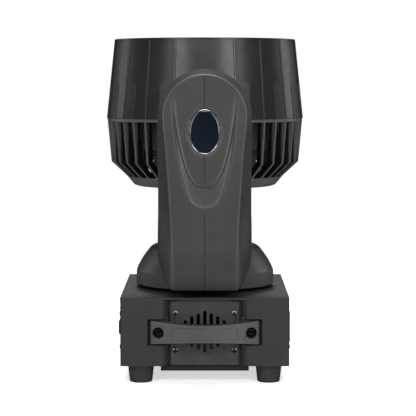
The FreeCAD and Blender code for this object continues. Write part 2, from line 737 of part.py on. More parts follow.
subpart("dmx_latch", block(("base_half_x-4", "dmx_out_y-3", "socket_z+9.9"),
                           ("base_half_x+flange+1.6", "dmx_out_y+3", "socket_z+13.8")))
power_blades = [block(("base_half_x-16", f"power_in_y+{dy}-1", f"socket_z+{dz}-2"),
                      ("base_half_x-1", f"power_in_y+{dy}+1", f"socket_z+{dz}+2"))
                for dy, dz in ((-7, -1.6), (0, 2.2), (7, -1.6))]
signal_pins = [rod("1.2", ("base_half_x-15", f"dmx_in_y+{dy}", f"socket_z+{dz}"), "13", "+X")
               for dy, dz in data_pins]
subpart("connector_pins", gather(*power_blades, *signal_pins))


# ---- base: power supply ----------------------------------------------------------------------

circuit_board = block(("-48", "-100", "board_low"), ("48", "-38", "board_top"))
standoffs = [rod("3", (f"{side}*43", y, "base_bottom+steel"), "board_low-base_bottom-steel")
             for side in (-1, 1) for y in ("-95", "-43")]
transformer = block(("-12", "-70", "board_top"), ("22", "-42", "59"))
cooling_plates = [block((x, "-98", "board_top"), (f"{x}+4", "-42", "62")) for x in ("26", "-44")]
capacitors = [rod("8", ("-26", y, "board_top"), "28") for y in ("-52", "-72")]
coil = rod("9", ("12", "-90", "board_top+8.8"), "9", "+X")
filter_block = block(("-34", "-98", "board_top"), ("-14", "-86", "46"))
subpart("power_supply", fuse(circuit_board, *standoffs, transformer, *cooling_plates, *capacitors, coil,
                             filter_block, name="PowerSupply"))


# ---- base: pan drive -------------------------------------------------------------------------

bearing_plate = block(("steel-chassis_half_x+0.1", "-bearing_plate_y", "bearing_plate_low"),
                      ("chassis_half_x-steel-0.1", "bearing_plate_y", "bearing_plate_high"))
bearing_seat = rod("pan_bearing_radius", ("0", "0", "bearing_plate_low-2"), "8")
subpart("pan_bearing_plate", cut(bearing_plate, bearing_seat))
bearing_bore = "pan_shaft_radius+fit_gap"
subpart("pan_bearing", fuse(
    tube("pan_bearing_radius", bearing_bore, ("0", "0", "bearing_low"), "bearing_high-bearing_low-0.9"),
    tube("pan_bearing_radius+3", bearing_bore, ("0", "0", "bearing_plate_high"), "1.7")))


def motor(half, length, spot, turn, boss):
    """Square stepper motor with cut corners, a centring boss and a bore for its shaft."""
    flat = f"{half}-motor_bevel"
    outline = [(f"-{half}", f"-({flat})"), (f"-({flat})", f"-{half}"), (flat, f"-{half}"),
               (half, f"-({flat})"), (half, flat), (flat, half), (f"-({flat})", half), (f"-{half}", flat)]
    body = cut(fuse(prism(outline, "0", length), rod("motor_boss_radius", ("0", "0", length), boss)),
               rod("motor_shaft_radius+fit_gap", ("0", "0", f"{length}-8"), "20"), name="Motor")
    return repeat(body, [(spot, turn)])


def drive_pulley(radius, bore, spot, turn, stub=None):
    """Belt pulley with two flanges, bored for a shaft or carrying its own shaft stub."""
    rim = f"{radius}+1.5+belt_gap"
    wheel = fuse(rod(radius, ("0", "0", "0"), "pulley_height"),
                 rod(rim, ("0", "0", "0"), "pulley_flange"),
                 rod(rim, ("0", "0", "pulley_height-pulley_flange"), "pulley_flange"))
    if stub:
        whole = fuse(wheel, rod("motor_shaft_radius", ("0", "0", f"-{stub}"), stub))
    else:
        whole = cut(wheel, rod(bore, ("0", "0", "-1"), "20"))
    return repeat(whole, [(spot, turn)])


def belt(big_radius, small_radius, span, spot, turn):
    """Closed toothed belt around two wheels, one at the origin and one at a span along X."""
    def loop(extra):
        large, small, distance = (size(big_radius) + extra, size(small_radius) + extra, size(span))
        lean = math.asin((large - small) / distance)
        across, along = math.cos(lean), math.sin(lean)
        top = Vector(large * along, large * across, 0)
        far_top = Vector(distance + small * along, small * across, 0)
        low, far_low = Vector(top.x, -top.y, 0), Vector(far_top.x, -far_top.y, 0)
        return Part.Face(Part.Wire([
            Part.LineSegment(top, far_top).toShape(),
            Part.Arc(far_top, Vector(distance + small, 0, 0), far_low).toShape(),
            Part.LineSegment(far_low, low).toShape(),
            Part.Arc(low, Vector(-large, 0, 0), top).toShape()]))
    inner = size("belt_gap")
    face = loop(inner + size("belt_thickness") - 0.6).cut(loop(inner))
    solid = face.extrude(Vector(0, 0, size("pulley_height-2*pulley_flange-2*belt_gap")))
    return repeat(feature(solid, "Belt"), [(spot, turn)])


subpart("pan_motor", motor("motor_half", "44", ("0", "pan_motor_y", "base_bottom+steel"), "+Z", "2"))
subpart("pan_motor_pulley", drive_pulley("motor_pulley_radius", None, ("0", "pan_motor_y", "pan_pulley_low"),
                                         "+Z", stub="18"))
subpart("pan_belt", belt("pan_pulley_radius", "motor_pulley_radius", "pan_motor_y",
                         ("0", "0", "pan_pulley_low+pulley_flange+belt_gap"), around_z(90)))


# ---- yoke: frame, pan shaft and pulley -------------------------------------------------------

subpart("pan_shaft", fuse(
    tube("pan_shaft_radius", "pan_shaft_bore", ("0", "0", "pan_pulley_low"), "frame_low-pan_pulley_low"),
    tube("30", "pan_shaft_bore", ("0", "0", "frame_low-3"), "3")))
subpart("pan_pulley", drive_pulley("pan_pulley_radius", "pan_shaft_radius",
                                   ("0", "0", "pan_pulley_low"), "+Z"))


def yoke_frame():
    """Folded steel U: a floor, two slanted corners and two upright arms with bored ends."""
    low, arm, plate = size("frame_low"), size("frame_arm"), size("frame_plate")
    half, top = size("frame_half_x"), size("tilt_z")
    outside = [(114, low), (arm + plate, 136), (arm + plate, top + 24)]
    inside = [(arm, top + 24), (arm, 136.6), (113.4, low + plate)]
    right = [Vector(-half, y, z) for y, z in outside + inside]
    left = [Vector(-half, -y, z) for y, z in reversed(outside + inside)]
    face = Part.Face(Part.makePolygon(right + left + [right[0]]))
    folded = face.extrude(Vector(2 * half, 0, 0))
    holes = [
        Part.makeCylinder(size("pan_shaft_bore"), 10, Vector(0, 0, low - 4)),
        Part.makeCylinder(size("tilt_bearing_radius"), 400, Vector(0, -200, top), Vector(0, 1, 0)),
        Part.makeCylinder(12, 20, Vector(0, arm - 10, size("tilt_motor_z")), Vector(0, 1, 0)),
    ]
    return feature(folded.cut(holes), "YokeFrame")


subpart("yoke_frame", yoke_frame())


# ---- yoke: plastic covers --------------------------------------------------------------------

def arm_section(y, inset):
    """Closed wire of an arm's outline at one distance from the pan axis.

    The inner edge of the arm is a straight strip with a round top. Towards the outer face the
    outline narrows, more at the foot than at the tilt axis.
    """
    share = (y - size("arm_inner")) / (size("arm_outer") - size("arm_inner"))
    wide, axis, foot = size("arm_half_width"), size("tilt_z"), size("bend_z")
    face = [(foot, "face_half_low"), (foot + 20, "face_half_low"), (220, "face_half_waist"),
            (266, "face_half_mid"), (axis, "face_half_top")]
    profile = [(wide + (size(alias) - wide) * share - inset, z) for z, alias in face]
    edges = []
    for sign in (1, -1):
        curve = Part.BSplineCurve()
        points = [Vector(sign * x, y, z) for x, z in profile]
        curve.interpolate(points if sign > 0 else points[::-1])
        edges.append(curve.toShape())
    top = profile[-1][0]
    arch = Part.Arc(Vector(top, y, axis), Vector(0, y, axis + top), Vector(-top, y, axis)).toShape()
    sill = Part.LineSegment(Vector(-profile[0][0], y, foot), Vector(profile[0][0], y, foot)).toShape()
    return Part.Wire([edges[0], arch, edges[1], sill])


def yoke_envelope(inset):
    """The U of the yoke as one solid: two arms, two bends and the bar between them."""
    inner, outer = size("arm_inner") + inset, size("arm_outer") - inset
    bend_y, bend_z = size("bend_y"), size("bend_z")
    near, far = size("bend_inner") + inset, size("bend_outer") - inset
    wide, foot = size("arm_half_width"), size("face_half_low")
    total = size("arm_outer") - size("arm_inner")

    def half_at(depth):
        return wide + (foot - wide) * depth / total - inset

    arm = Part.makeLoft([arm_section(inner, inset), arm_section(outer, inset)], True, True)
    depths = (near - size("bend_inner"), far - size("bend_inner"))
    halves = [half_at(depth) for depth in depths]
    section = [Vector(-halves[0], bend_y, bend_z - near), Vector(halves[0], bend_y, bend_z - near),
               Vector(halves[1], bend_y, bend_z - far), Vector(-halves[1], bend_y, bend_z - far)]
    face = Part.Face(Part.makePolygon(section + section[:1]))
    bend = face.revolve(Vector(0, bend_y, bend_z), Vector(1, 0, 0), 90)
    bar = face.extrude(Vector(0, -2 * bend_y, 0))
    pieces = [arm, bend, arm.mirror(Vector(), Vector(0, 1, 0)), bend.mirror(Vector(), Vector(0, 1, 0))]
    return bar.fuse(pieces).removeSplitter()


def channel_cutter():
    """The shallow shield-shaped groove in an arm's outer face, between two nested curves."""
    def side(points):
        curve = Part.BSplineCurve()
        curve.interpolate([Vector(x, 0, z) for x, z in points])
        return curve.toShape()

    top = size("channel_top")
    outer_half = [(36.9, top), (35.1, 298), (28.5, 253), (16.7, 216), (0, 205)]
    inner_half = [(34.7, top), (32.9, 309), (24.8, 264), (13.8, 236), (0, 228)]
    outer = side(outer_half + [(-x, z) for x, z in reversed(outer_half[:-1])])
    inner = side(inner_half + [(-x, z) for x, z in reversed(inner_half[:-1])])
    ends = [Part.LineSegment(Vector(sign * inner_half[0][0], 0, top),
                             Vector(sign * outer_half[0][0], 0, top)).toShape() for sign in (1, -1)]
    face = Part.Face(Part.Wire(Part.__sortEdges__([outer, inner, *ends])))
    return face.extrude(Vector(0, 2 * size("channel_depth"), 0))


def both_arms(shape):
    return [shape, shape.mirror(Vector(), Vector(0, 1, 0))]


def bevel_spots():
    """Places and outward directions of the screws in the sloping sides of the yoke's bends."""
    fall = size("arm_half_width") - size("face_half_low")
    run = size("arm_outer") - size("arm_inner")
    lean = math.radians(size("cover_screw_angle"))
    spots = []
    for alias in ("cover_screw_near", "cover_screw_far"):
        radius = size(alias)
        x = size("arm_half_width") - fall * (radius - size("bend_inner")) / run
        for sx in (-1, 1):
            for sy in (-1, 1):
                radial = Vector(0, sy * math.sin(lean), -math.cos(lean))
                centre = Vector(sx * x, sy * size("bend_y"), size("bend_z")) + radial * radius
                spots.append((centre, (Vector(sx * run, 0, 0) + radial * fall).normalize()))
    return spots


outside = yoke_envelope(0)
shell = outside.cut(yoke_envelope(size("cover_wall")))
arm_face = size("arm_outer")
hole_reach = arm_face - 40
hollows = [Part.makeCylinder(size("arm_shaft_hole"), 2 * hole_reach,
                             Vector(0, -hole_reach, size("tilt_z")), Vector(0, 1, 0)),
           Part.makeCylinder(31, 10, Vector(0, 0, size("skirt_low")))]
groove = channel_cutter()
groove.translate(Vector(0, arm_face - size("channel_depth"), 0))
hollows += both_arms(groove)
oval = Part.Ellipse(Vector(), size("badge_half_z"), size("badge_half_x"))
seat = Part.Face(Part.Wire(oval.toShape()))
seat.rotate(Vector(), Vector(0, 0, 1), 90)
seat.rotate(Vector(), Vector(1, 0, 0), 90)
seat_solid = seat.extrude(Vector(0, 3, 0))
seat_solid.translate(Vector(0, arm_face - size("badge_seat"), size("badge_z")))
hollows += both_arms(seat_solid)
for spot, outward in bevel_spots():
    hollows.append(Part.makeCylinder(size("screw_shank+hole_gap"), 12, spot - outward * 6, outward))
    hollows.append(Part.makeCylinder(size("screw_radius") + 0.2, 5, spot - outward * 1.2, outward))
shell = shell.cut(hollows)
half_space = Part.makeBox(200, 400, 500, Vector(0.05, -200, 0))
subpart("yoke_cover_rear", feature(shell.common(half_space), "YokeCover"))
subpart("yoke_cover_front", feature(shell.common(half_space.mirror(Vector(), Vector(1, 0, 0))), "YokeCover"))

badge = seat.extrude(Vector(0, size("badge_thickness"), 0))
badge.translate(Vector(0, arm_face - size("badge_seat"), size("badge_z")))
subpart("badges", feature(Part.makeCompound(both_arms(badge)), "Badges"))

cover_screws = []
for spot, outward in bevel_spots():
    base = spot - outward * 1.2
    cover_screws.append(Part.makeCylinder(size("screw_radius"), 0.9, base, outward).fuse(
        Part.makeCylinder(size("screw_shank"), 4, base - outward * 4, outward)))
subpart("cover_screws", feature(Part.makeCompound(cover_screws), "CoverScrews"))

skirt_bulge = "((skirt_radius-skirt_shoulder_radius)^2+(skirt_shoulder_z-skirt_wall_top)^2)/(2*2.2)/2"
skirt_body = turned([
    ("skirt_radius", "skirt_low"), ("skirt_radius", "skirt_wall_top"),
    ("skirt_shoulder_radius", "skirt_shoulder_z", skirt_bulge),
    ("skirt_top_radius", "skirt_top", "14"), ("36", "skirt_top"), ("36", "skirt_top-cover_wall"),
    ("skirt_top_radius-1", "skirt_top-cover_wall"),
    ("skirt_shoulder_radius-2.2", "skirt_shoulder_z-1.2", "-11.5"),
    ("skirt_radius-cover_wall", "skirt_wall_top-0.6", f"-({skirt_bulge}-cover_wall)"),
    ("skirt_radius-cover_wall", "skirt_low")])
document.recompute()
skirt = skirt_body.Shape.cut(outside)
subpart("skirt_rear", feature(skirt.common(half_space), "Skirt"))
subpart("skirt_front", feature(skirt.common(half_space.mirror(Vector(), Vector(1, 0, 0))), "Skirt"))


# ---- yoke: tilt drive ------------------------------------------------------------------------

subpart("tilt_motor", motor("motor_half", "22", ("0", "arm_inner+cover_wall+0.6", "tilt_motor_z"), "+Y", "2"))
subpart("tilt_motor_pulley", drive_pulley("motor_pulley_radius", None, ("0", "tilt_pulley_y", "tilt_motor_z"),
                                          "+Y", stub="12"))
subpart("tilt_belt", belt("tilt_pulley_radius", "motor_pulley_radius", "tilt_z-tilt_motor_z",
                          ("0", "tilt_pulley_y+pulley_flange+belt_gap", "tilt_z"),
                          Rotation(Vector(0, 0, -1), Vector(1, 0, 0), Vector(0, 1, 0), "ZXY")))
race = tube("tilt_bearing_radius", "tilt_shaft_radius+fit_gap", ("0", "0", "0"), "5.7")
subpart("tilt_bearings", repeat(race, [(("0", "frame_arm-2", "tilt_z"), "+Y"),
                                       (("0", "2-frame_arm", "tilt_z"), "-Y")]))


# ---- head: shroud, bezel and basket ----------------------------------------------------------

def shaft_notch():
    """The round way through the head for the two tilt shafts."""
    return Part.makeCylinder(size("tilt_shaft_radius") + 0.4, 260, Vector(0, -130, size("tilt_z")),
                             Vector(0, 1, 0))


def shroud_radius(z):
    """Radius of the shroud's conical skin at a height, as an expression."""
    return f"shroud_low_radius-(shroud_low_radius-shroud_top_radius)*({z}-head_seam)/(head_top-head_seam)"


def shroud():
    """Conical plastic ring with upright ribs on its skin, notched for the tilt shafts."""
    low, high = size("head_seam"), size("head_top") - 2
    skin = Part.makeCone(size("shroud_low_radius"), size(shroud_radius(high)), high - low, Vector(0, 0, low))
    inner = Part.makeCone(size("shroud_low_radius") - size("shroud_wall"),
                          size(shroud_radius(high)) - size("shroud_wall"), high - low, Vector(0, 0, low))
    half, proud = size("rib_width") / 2, size("rib_proud")

    def rib(angle, top):
        lower, upper = size("shroud_low_radius"), size(shroud_radius(top))
        side = Part.Face(Part.makePolygon([Vector(lower - 2, -half, low), Vector(lower + proud, -half, low),
                                           Vector(upper + proud, -half, top), Vector(upper - 2, -half, top),
                                           Vector(lower - 2, -half, low)]))
        bar = side.extrude(Vector(0, 2 * half, 0))
        bar.rotate(Vector(), Vector(0, 0, 1), angle)
        return bar

    ribs = []
    for index in range(20):
        angle = 90 + 18 * index
        if angle % 180 != 90:
            ribs.append(rib(angle, high))
        if (angle + 9) % 180 not in (81, 99):
            ribs.append(rib(angle + 9, size("short_rib_top")))
    return feature(skin.fuse(ribs).cut([inner, shaft_notch()]), "Shroud")


subpart("head_shroud", shroud())
subpart("front_bezel", turned([
    ("aperture_radius", "head_top"), ("aperture_radius", "head_top-7"), ("aperture_radius+2.4", "head_top-7"),
    ("aperture_radius+2.4", "head_top-2"), ("shroud_top_radius+0.6", "head_top-2"),
    ("shroud_top_radius+0.6", "head_top-0.6"), ("shroud_top_radius", "head_top", "0.605")]))


def basket():
    """Rear housing: a closed bowl under a cage of upright fins, open between them."""
    outer = [("basket_top_radius", "head_seam-0.1"), ("basket_top_radius", "fin_top"),
             ("basket_mid_radius", "basket_mid_z"), ("basket_bowl_radius", "basket_bowl_z"),
             ("basket_floor_radius", "basket_floor_z"), ("basket_floor_radius-4", "basket_low")]
    inner = [("basket_floor_radius-5", "basket_low+2.5"), ("basket_bowl_radius-fin_depth", "basket_bowl_z+1"),
             ("basket_mid_radius-fin_depth", "basket_mid_z+3"), ("basket_top_radius-fin_depth", "fin_top"),
             ("basket_top_radius-fin_depth", "head_seam-0.1")]
    bowl = turned([("0", "basket_low"), ("0", "basket_low+2.5"), *inner, *outer])
    post = "(fan_half-7.5)"
    posts = [rod("4", (f"{sx}*{post}", f"{sy}*{post}", "basket_low+1"), "fan_low-basket_low-1")
             for sx in (-1, 1) for sy in (-1, 1)]
    body = fuse(bowl, *posts)
    document.recompute()
    low, high = size("basket_bowl_z"), size("fin_top")
    reach = size("basket_top_radius") + 5
    near = size("basket_bowl_radius") - size("fin_depth") - 6
    count = int(size("fin_count"))
    half_pitch = math.pi / count
    half_fin = size("fin_width") / 2 / math.cos(half_pitch)
    inner_half = near * math.tan(half_pitch) - half_fin
    outer_half = reach * math.tan(half_pitch) - half_fin
    corners = [Vector(near, -inner_half, low), Vector(reach, -outer_half, low),
               Vector(reach, outer_half, low), Vector(near, inner_half, low)]
    gap = Part.Face(Part.makePolygon(corners + corners[:1])).extrude(Vector(0, 0, high - low))
    slots = []
    for index in range(count):
        slot = gap.copy()
        slot.rotate(Vector(), Vector(0, 0, 1), 360 * (index + 0.5) / count)
        slots.append(slot)
    vents = []
    for ring, holes in ((18, 6), (32, 10), (46, 14)):
        for index in range(holes):
            angle = 2 * math.pi * index / holes
            vents.append(Part.makeCylinder(4.5, 10, Vector(ring * math.cos(angle), ring * math.sin(angle),
                                                           size("basket_low") - 2)))
    return feature(body.Shape.cut(slots + vents + [shaft_notch()]), "Basket")


subpart("rear_basket", basket())


# ---- head: bracket, shafts and heat sink -----------------------------------------------------

def head_bracket():
    """Two steel side plates, a cross plate under the heat sink and a wing on each side of the fan."""
    plates = []
    for side in (-1, 1):
        low, high = sorted((f"{side}*bracket_y", f"{side}*(bracket_y+frame_plate)"), key=size)
        plates.append(block(("-bracket_half_x", low, "bracket_low"),
                            ("bracket_half_x", high, "sink_base_low")))
    cross = block(("-bracket_half_x-4", "-bracket_y", "bracket_low+7"),
                  ("bracket_half_x+4", "bracket_y", "bracket_low+9"))
    windows = [rod("fan_bore-3", ("0", "0", "bracket_low"), "12"),
               rod("tilt_shaft_bore", ("0", "-100", "tilt_z"), "200", "+Y")]
    wings = []
    for side in (-1, 1):
        for near, far, low in (("bracket_half_x", "wing_far", "bracket_low+7"),
                               ("wing_near", "wing_far", "wing_step"), ("wing_near", "wing_mid", "wing_low")):
            ends = sorted((f"{side}*{near}", f"{side}*{far}"), key=size)
            wings.append(block((ends[0], "-frame_plate/2", low), (ends[1], "frame_plate/2", "bracket_low+9")))
    return fuse(cut(fuse(*plates, cross), *windows), *wings)


subpart("head_bracket", head_bracket())
shaft = fuse(tube("tilt_shaft_radius", "tilt_shaft_bore", ("0", "0", "0"), "163-bracket_y-frame_plate"),
             tube("18", "tilt_shaft_bore", ("0", "0", "0"), "3"))
subpart("tilt_shafts", repeat(shaft, [(("0", "bracket_y+frame_plate", "tilt_z"), "+Y"),
                                      (("0", "-bracket_y-frame_plate", "tilt_z"), "-Y")]))
subpart("tilt_pulley", drive_pulley("tilt_pulley_radius", "tilt_shaft_radius",
                                    ("0", "tilt_pulley_y", "tilt_z"), "+Y"))

sink_fins = [common(rod("sink_fin_radius", ("0", "0", "sink_low"), "sink_base_low-sink_low"),
                    block(("-sink_radius", f"{index}*sink_fin_pitch-sink_fin_half", "sink_low"),
                          ("sink_radius", f"{index}*sink_fin_pitch+sink_fin_half", "sink_base_low")))
             for index in range(-11, 12)]
sink_base = rod("sink_radius", ("0", "0", "sink_base_low"), "sink_base_high-sink_base_low")
subpart("heat_sink", fuse(sink_base, *sink_fins))


# ---- head: light engine and zoom -------------------------------------------------------------

def lens_spots():
    """The optical axes: one in the middle and two rings around it, as expressions."""
    spots = [("0", "0")]
    for radius, count, start in (("lens_ring_one", 6, 0), ("lens_ring_two", 12, 15)):
        angles = [start + index * 360 / count for index in range(count)]
        spots += [(f"{radius}*cos({angle})", f"{radius}*sin({angle})") for angle in angles]
    return spots


ZOOM_SPOTS = [(f"zoom_radius*cos({angle})", f"zoom_radius*sin({angle})") for angle in (30, 150, 270)]
BOARD_TOP = "(sink_base_high+led_board_thickness)"
board = rod("sink_radius-2", ("0", "0", "sink_base_high"), "led_board_thickness")
chips = [block((f"{x}-3.5", f"{y}-3.5", BOARD_TOP), (f"{x}+3.5", f"{y}+3.5", f"{BOARD_TOP}+2.2"))
         for x, y in lens_spots()]
subpart("led_board", fuse(board, *chips))

bosses = [rod("guide_radius+2.5", (x, y, "lens_plate_z-5"), "5") for x, y in ZOOM_SPOTS]
bores = [rod(f"{radius}+fit_gap", (x, y, "lens_plate_z-8"), "20")
         for (x, y), radius in zip(ZOOM_SPOTS, ("zoom_screw_radius", "guide_radius", "guide_radius"))]
bores += [rod("lens_radius-1.5", (x, y, "lens_plate_z-1"), "10") for x, y in lens_spots()]
plate = rod("lens_plate_radius", ("0", "0", "lens_plate_z"), "lens_plate_thickness")
subpart("lens_plate", cut(fuse(plate, *bosses), *bores))

PLATE_TOP = "lens_plate_z+lens_plate_thickness"
lens = turned([("0", "lens_plate_z-14"), ("7", "lens_plate_z-14"), ("lens_radius-2", "lens_plate_z"),
               ("lens_radius-1.5", PLATE_TOP), ("lens_radius", PLATE_TOP),
               ("lens_radius", f"{PLATE_TOP}+1.5"),
               ("0", f"{PLATE_TOP}+5.5", "(lens_radius^2+16)/8")])
subpart("zoom_lenses", repeat(lens, [((x, y, "0"), "+Z") for x, y in lens_spots()]))

motor_x, motor_y = ZOOM_SPOTS[0]
subpart("zoom_motor", cut(
    fuse(rod("zoom_motor_radius", (motor_x, motor_y, BOARD_TOP), "12"),
         rod("3.5", (motor_x, motor_y, f"{BOARD_TOP}+12"), "1")),
    rod("zoom_screw_radius+fit_gap", (motor_x, motor_y, f"{BOARD_TOP}+2"), "20")))
subpart("zoom_screw", rod("zoom_screw_radius", (motor_x, motor_y, f"{BOARD_TOP}+2.5"), "46"))
subpart("zoom_guides", gather(*[rod("guide_radius", (x, y, BOARD_TOP), "49") for x, y in ZOOM_SPOTS[1:]]))


# ---- head: cooling fan -----------------------------------------------------------------------

def fan_frame():
    half, low = "fan_half", "fan_low"
    frame = block((f"-{half}", f"-{half}", low), (half, half, f"{low}+fan_height"))
    bore = rod("fan_bore", ("0", "0", f"{low}-1"), "fan_height+2")
    corners = [block((f"{sx}*fan_half-6", f"{sy}*fan_half-6", f"{low}-1"),
                     (f"{sx}*fan_half+6", f"{sy}*fan_half+6", f"{low}+fan_height+1"))
               for sx in (-1, 1) for sy in (-1, 1)]
    spokes = [place(block(("0", "0", low), ("fan_bore+1", "4", f"{low}+2.5")), ("0", "0", low),
                    around_z(angle)) for angle in (45, 135, 225, 315)]
    hub = rod("fan_hub", ("0", "0", low), "2.5")
    return fuse(cut(frame, bore, *corners), hub, *spokes)


def fan_rotor():
    """A hub with seven pitched blades."""
    low = size("fan_low") + 3
    height = size("fan_height") - 4
    hub = Part.makeCylinder(size("fan_hub"), height, Vector(0, 0, low))
    reach = size("fan_bore") - 1.5
    chord = Part.makeBox(reach, 36, 1.6, Vector(0, -18, -0.8))
    chord.rotate(Vector(), Vector(1, 0, 0), 32)
    chord.translate(Vector(0, 0, low + height / 2))
    limit = Part.makeCylinder(reach, height, Vector(0, 0, low))
    blades = []
    for index in range(7):
        blade = chord.copy()
        blade.rotate(Vector(), Vector(0, 0, 1), index * 360 / 7)
        blades.append(blade.common(limit))
    return feature(hub.fuse(blades), "FanRotor")


subpart("head_fan", fan_frame())
subpart("head_fan_rotor", fan_rotor())


# ---- output ----------------------------------------------------------------------------------

document.recompute()
for item in document.Objects:
    if {"Invalid", "Error"} & set(item.State):
        raise RuntimeError(f"{item.Name} ({item.Label}) failed: {item.State}")
for item in subparts:
    if item.Shape.isNull() or not item.Shape.isValid():
        raise RuntimeError(f"{item.Label} has no valid shape")

os.makedirs("parts", exist_ok=True)
for item in subparts:
    item.Shape.exportStep(f"parts/{item.Label}.step")
    print(f"{item.Label}: {len(item.Shape.Solids)} solids, {item.Shape.Volume / 1000:.2f} cm3")
print(len(subparts), "sub-parts")
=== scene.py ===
import json
import math

import bmesh
import bpy
import numpy as np
from mathutils import Matrix, Vector


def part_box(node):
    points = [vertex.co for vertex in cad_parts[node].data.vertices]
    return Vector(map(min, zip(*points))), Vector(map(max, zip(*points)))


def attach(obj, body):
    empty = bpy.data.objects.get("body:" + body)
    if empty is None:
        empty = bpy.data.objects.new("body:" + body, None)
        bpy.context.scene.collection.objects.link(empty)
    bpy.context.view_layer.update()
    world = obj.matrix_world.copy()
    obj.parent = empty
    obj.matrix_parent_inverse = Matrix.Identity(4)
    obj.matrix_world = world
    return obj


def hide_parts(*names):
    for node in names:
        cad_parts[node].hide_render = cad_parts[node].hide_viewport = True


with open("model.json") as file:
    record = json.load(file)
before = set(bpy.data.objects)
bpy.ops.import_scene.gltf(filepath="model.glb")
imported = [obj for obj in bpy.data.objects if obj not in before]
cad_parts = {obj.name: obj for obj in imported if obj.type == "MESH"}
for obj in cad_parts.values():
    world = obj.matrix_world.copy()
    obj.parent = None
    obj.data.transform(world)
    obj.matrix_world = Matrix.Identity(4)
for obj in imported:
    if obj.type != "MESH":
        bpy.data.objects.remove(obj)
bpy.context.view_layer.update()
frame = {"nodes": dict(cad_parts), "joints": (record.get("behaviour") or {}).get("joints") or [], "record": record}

# ---- places, in metres, read from the frame ---------------------------------------------------

MM = 0.001
TILT_Z = Vector(next(joint["pos_m"] for joint in frame["joints"] if joint["name"] == "tilt")).z
cover_low, cover_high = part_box("yoke_cover_rear")
badge_low, badge_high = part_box("badges")

# The yoke is a U with sloping sides: wide where it faces the head, narrow at its outer face.
ARM_OUTER = cover_high.y
ARM_DEPTH = 44.5 * MM
ARM_HALF = cover_high.x
BEND_OUTER = 49.5 * MM
BEND_Y = ARM_OUTER - BEND_OUTER
BEND_Z = cover_low.z + BEND_OUTER
WALL = 2.5 * MM

# Height and radius of the basket's outline: two points up the ribs and two round the bowl below.
RIB_LINE = ((250 * MM, 112 * MM), (298 * MM, 116.3 * MM))
BOWL_LINE = ((224.6 * MM, 84.7 * MM), (250 * MM, 112 * MM))


# ---- node materials ---------------------------------------------------------------------------

SEAM_FADE = (2 * MM, 4 * MM)    # where the painted edge highlight fades out beside the seam
PAINTED_HIGHLIGHT_POINTINESS = (0.505, 0.56)          # pointiness of an edge where the painted highlight starts, and where it is strongest


class Nodes:
    """A new material and the short calls that build its node tree."""

    def __init__(self, name, **shader):
        self.material = bpy.data.materials.new(name)
        self.material.use_nodes = True
        self.tree = self.material.node_tree
        self.shader = self.tree.nodes["Principled BSDF"]
        for socket, value in shader.items():
            self.shader.inputs[socket.replace("_", " ")].default_value = value
        self.place = self.add("ShaderNodeTexCoord").outputs["Object"]

    def add(self, kind, **settings):
        node = self.tree.nodes.new(kind)
        for key, value in settings.items():
            setattr(node, key, value)
        return node

    def link(self, source, target):
        self.tree.links.new(source, target)

    def noise(self, scale, detail=3.0, rough=0.5, stretch=(1, 1, 1)):
        """Noise over the object's own metres; scale is features per metre."""
        mapping = self.add("ShaderNodeMapping")
        mapping.inputs["Scale"].default_value = stretch
        self.link(self.place, mapping.inputs["Vector"])
        texture = self.add("ShaderNodeTexNoise")
        texture.inputs["Scale"].default_value = scale
        texture.inputs["Detail"].default_value = detail
        texture.inputs["Roughness"].default_value = rough
        self.link(mapping.outputs["Vector"], texture.inputs["Vector"])
        return texture.outputs["Fac"]

    def spread(self, value, low, high, start=0.3, end=0.7):
        """Stretches a grey value from start..end to low..high."""
        ranged = self.add("ShaderNodeMapRange")
        for socket, number in (("From Min", start), ("From Max", end), ("To Min", low), ("To Max", high)):
            ranged.inputs[socket].default_value = number
        self.link(value, ranged.inputs["Value"])
        return ranged.outputs["Result"]

    def tint(self, factor, first, second, first_link=None):
        """Blends two colours by a grey value; first_link feeds the first one instead."""
        mix = self.add("ShaderNodeMix", data_type="RGBA")
        mix.inputs["A"].default_value = (*first, 1)
        mix.inputs["B"].default_value = (*second, 1)
        self.link(factor, mix.inputs["Factor"])
        if first_link:
            self.link(first_link, mix.inputs["A"])
        return mix.outputs["Result"]

    def math(self, operation, first, second=None):
        node = self.add("ShaderNodeMath", operation=operation)
        for socket, value in zip(node.inputs, (first, second)):
            if isinstance(value, (int, float)):
                socket.default_value = value
            elif value is not None:
                self.link(value, socket)
        return node.outputs["Value"]

    def away_from_seam(self, value):
        """A grey value faded to nothing at the plane x = 0, where the covers meet."""
        parts = self.add("ShaderNodeSeparateXYZ")
        self.link(self.place, parts.inputs["Vector"])
        distance = self.math("ABSOLUTE", parts.outputs["X"])
        return self.math("MULTIPLY", value, self.spread(distance, 0, 1, *SEAM_FADE))

    def bump(self, height, strength, distance):
        bump = self.add("ShaderNodeBump")
        bump.inputs["Strength"].default_value = strength
        bump.inputs["Distance"].default_value = distance
        self.link(height, bump.inputs["Height"])
        self.link(bump.outputs["Normal"], self.shader.inputs["Normal"])


def shade(colour, factor):
    return tuple(min(1.0, channel * factor) for channel in colour)


def moulded_plastic(name, colour, roughness, grain=1500, edge=0.0):
    """Injection-moulded plastic with a fine grain; edge is how many times paler its edges are, a painted highlight
    along the creases where light would catch.
    """
    nodes = Nodes(name)
    flow = nodes.noise(22, detail=4, stretch=(1, 1, 0.5))
    body = nodes.tint(nodes.spread(flow, 0, 1), shade(colour, 0.9), shade(colour, 1.1))
    if edge:
        # painted highlight: convex edges, found by pointiness, are made paler in the base colour, except beside
        # the seam
        painted_edge_highlight = nodes.spread(nodes.add("ShaderNodeNewGeometry").outputs["Pointiness"], 0, 1, *PAINTED_HIGHLIGHT_POINTINESS)
        body = nodes.tint(nodes.away_from_seam(painted_edge_highlight), colour, shade(colour, edge), first_link=body)
    nodes.link(body, nodes.shader.inputs["Base Color"])
    sheen = nodes.noise(90, detail=5, rough=0.6)
    nodes.link(nodes.spread(sheen, roughness - 0.05, roughness + 0.05), nodes.shader.inputs["Roughness"])
    nodes.bump(nodes.noise(grain, detail=2, rough=0.7), 0.5, 0.05 * MM)
    return nodes.material


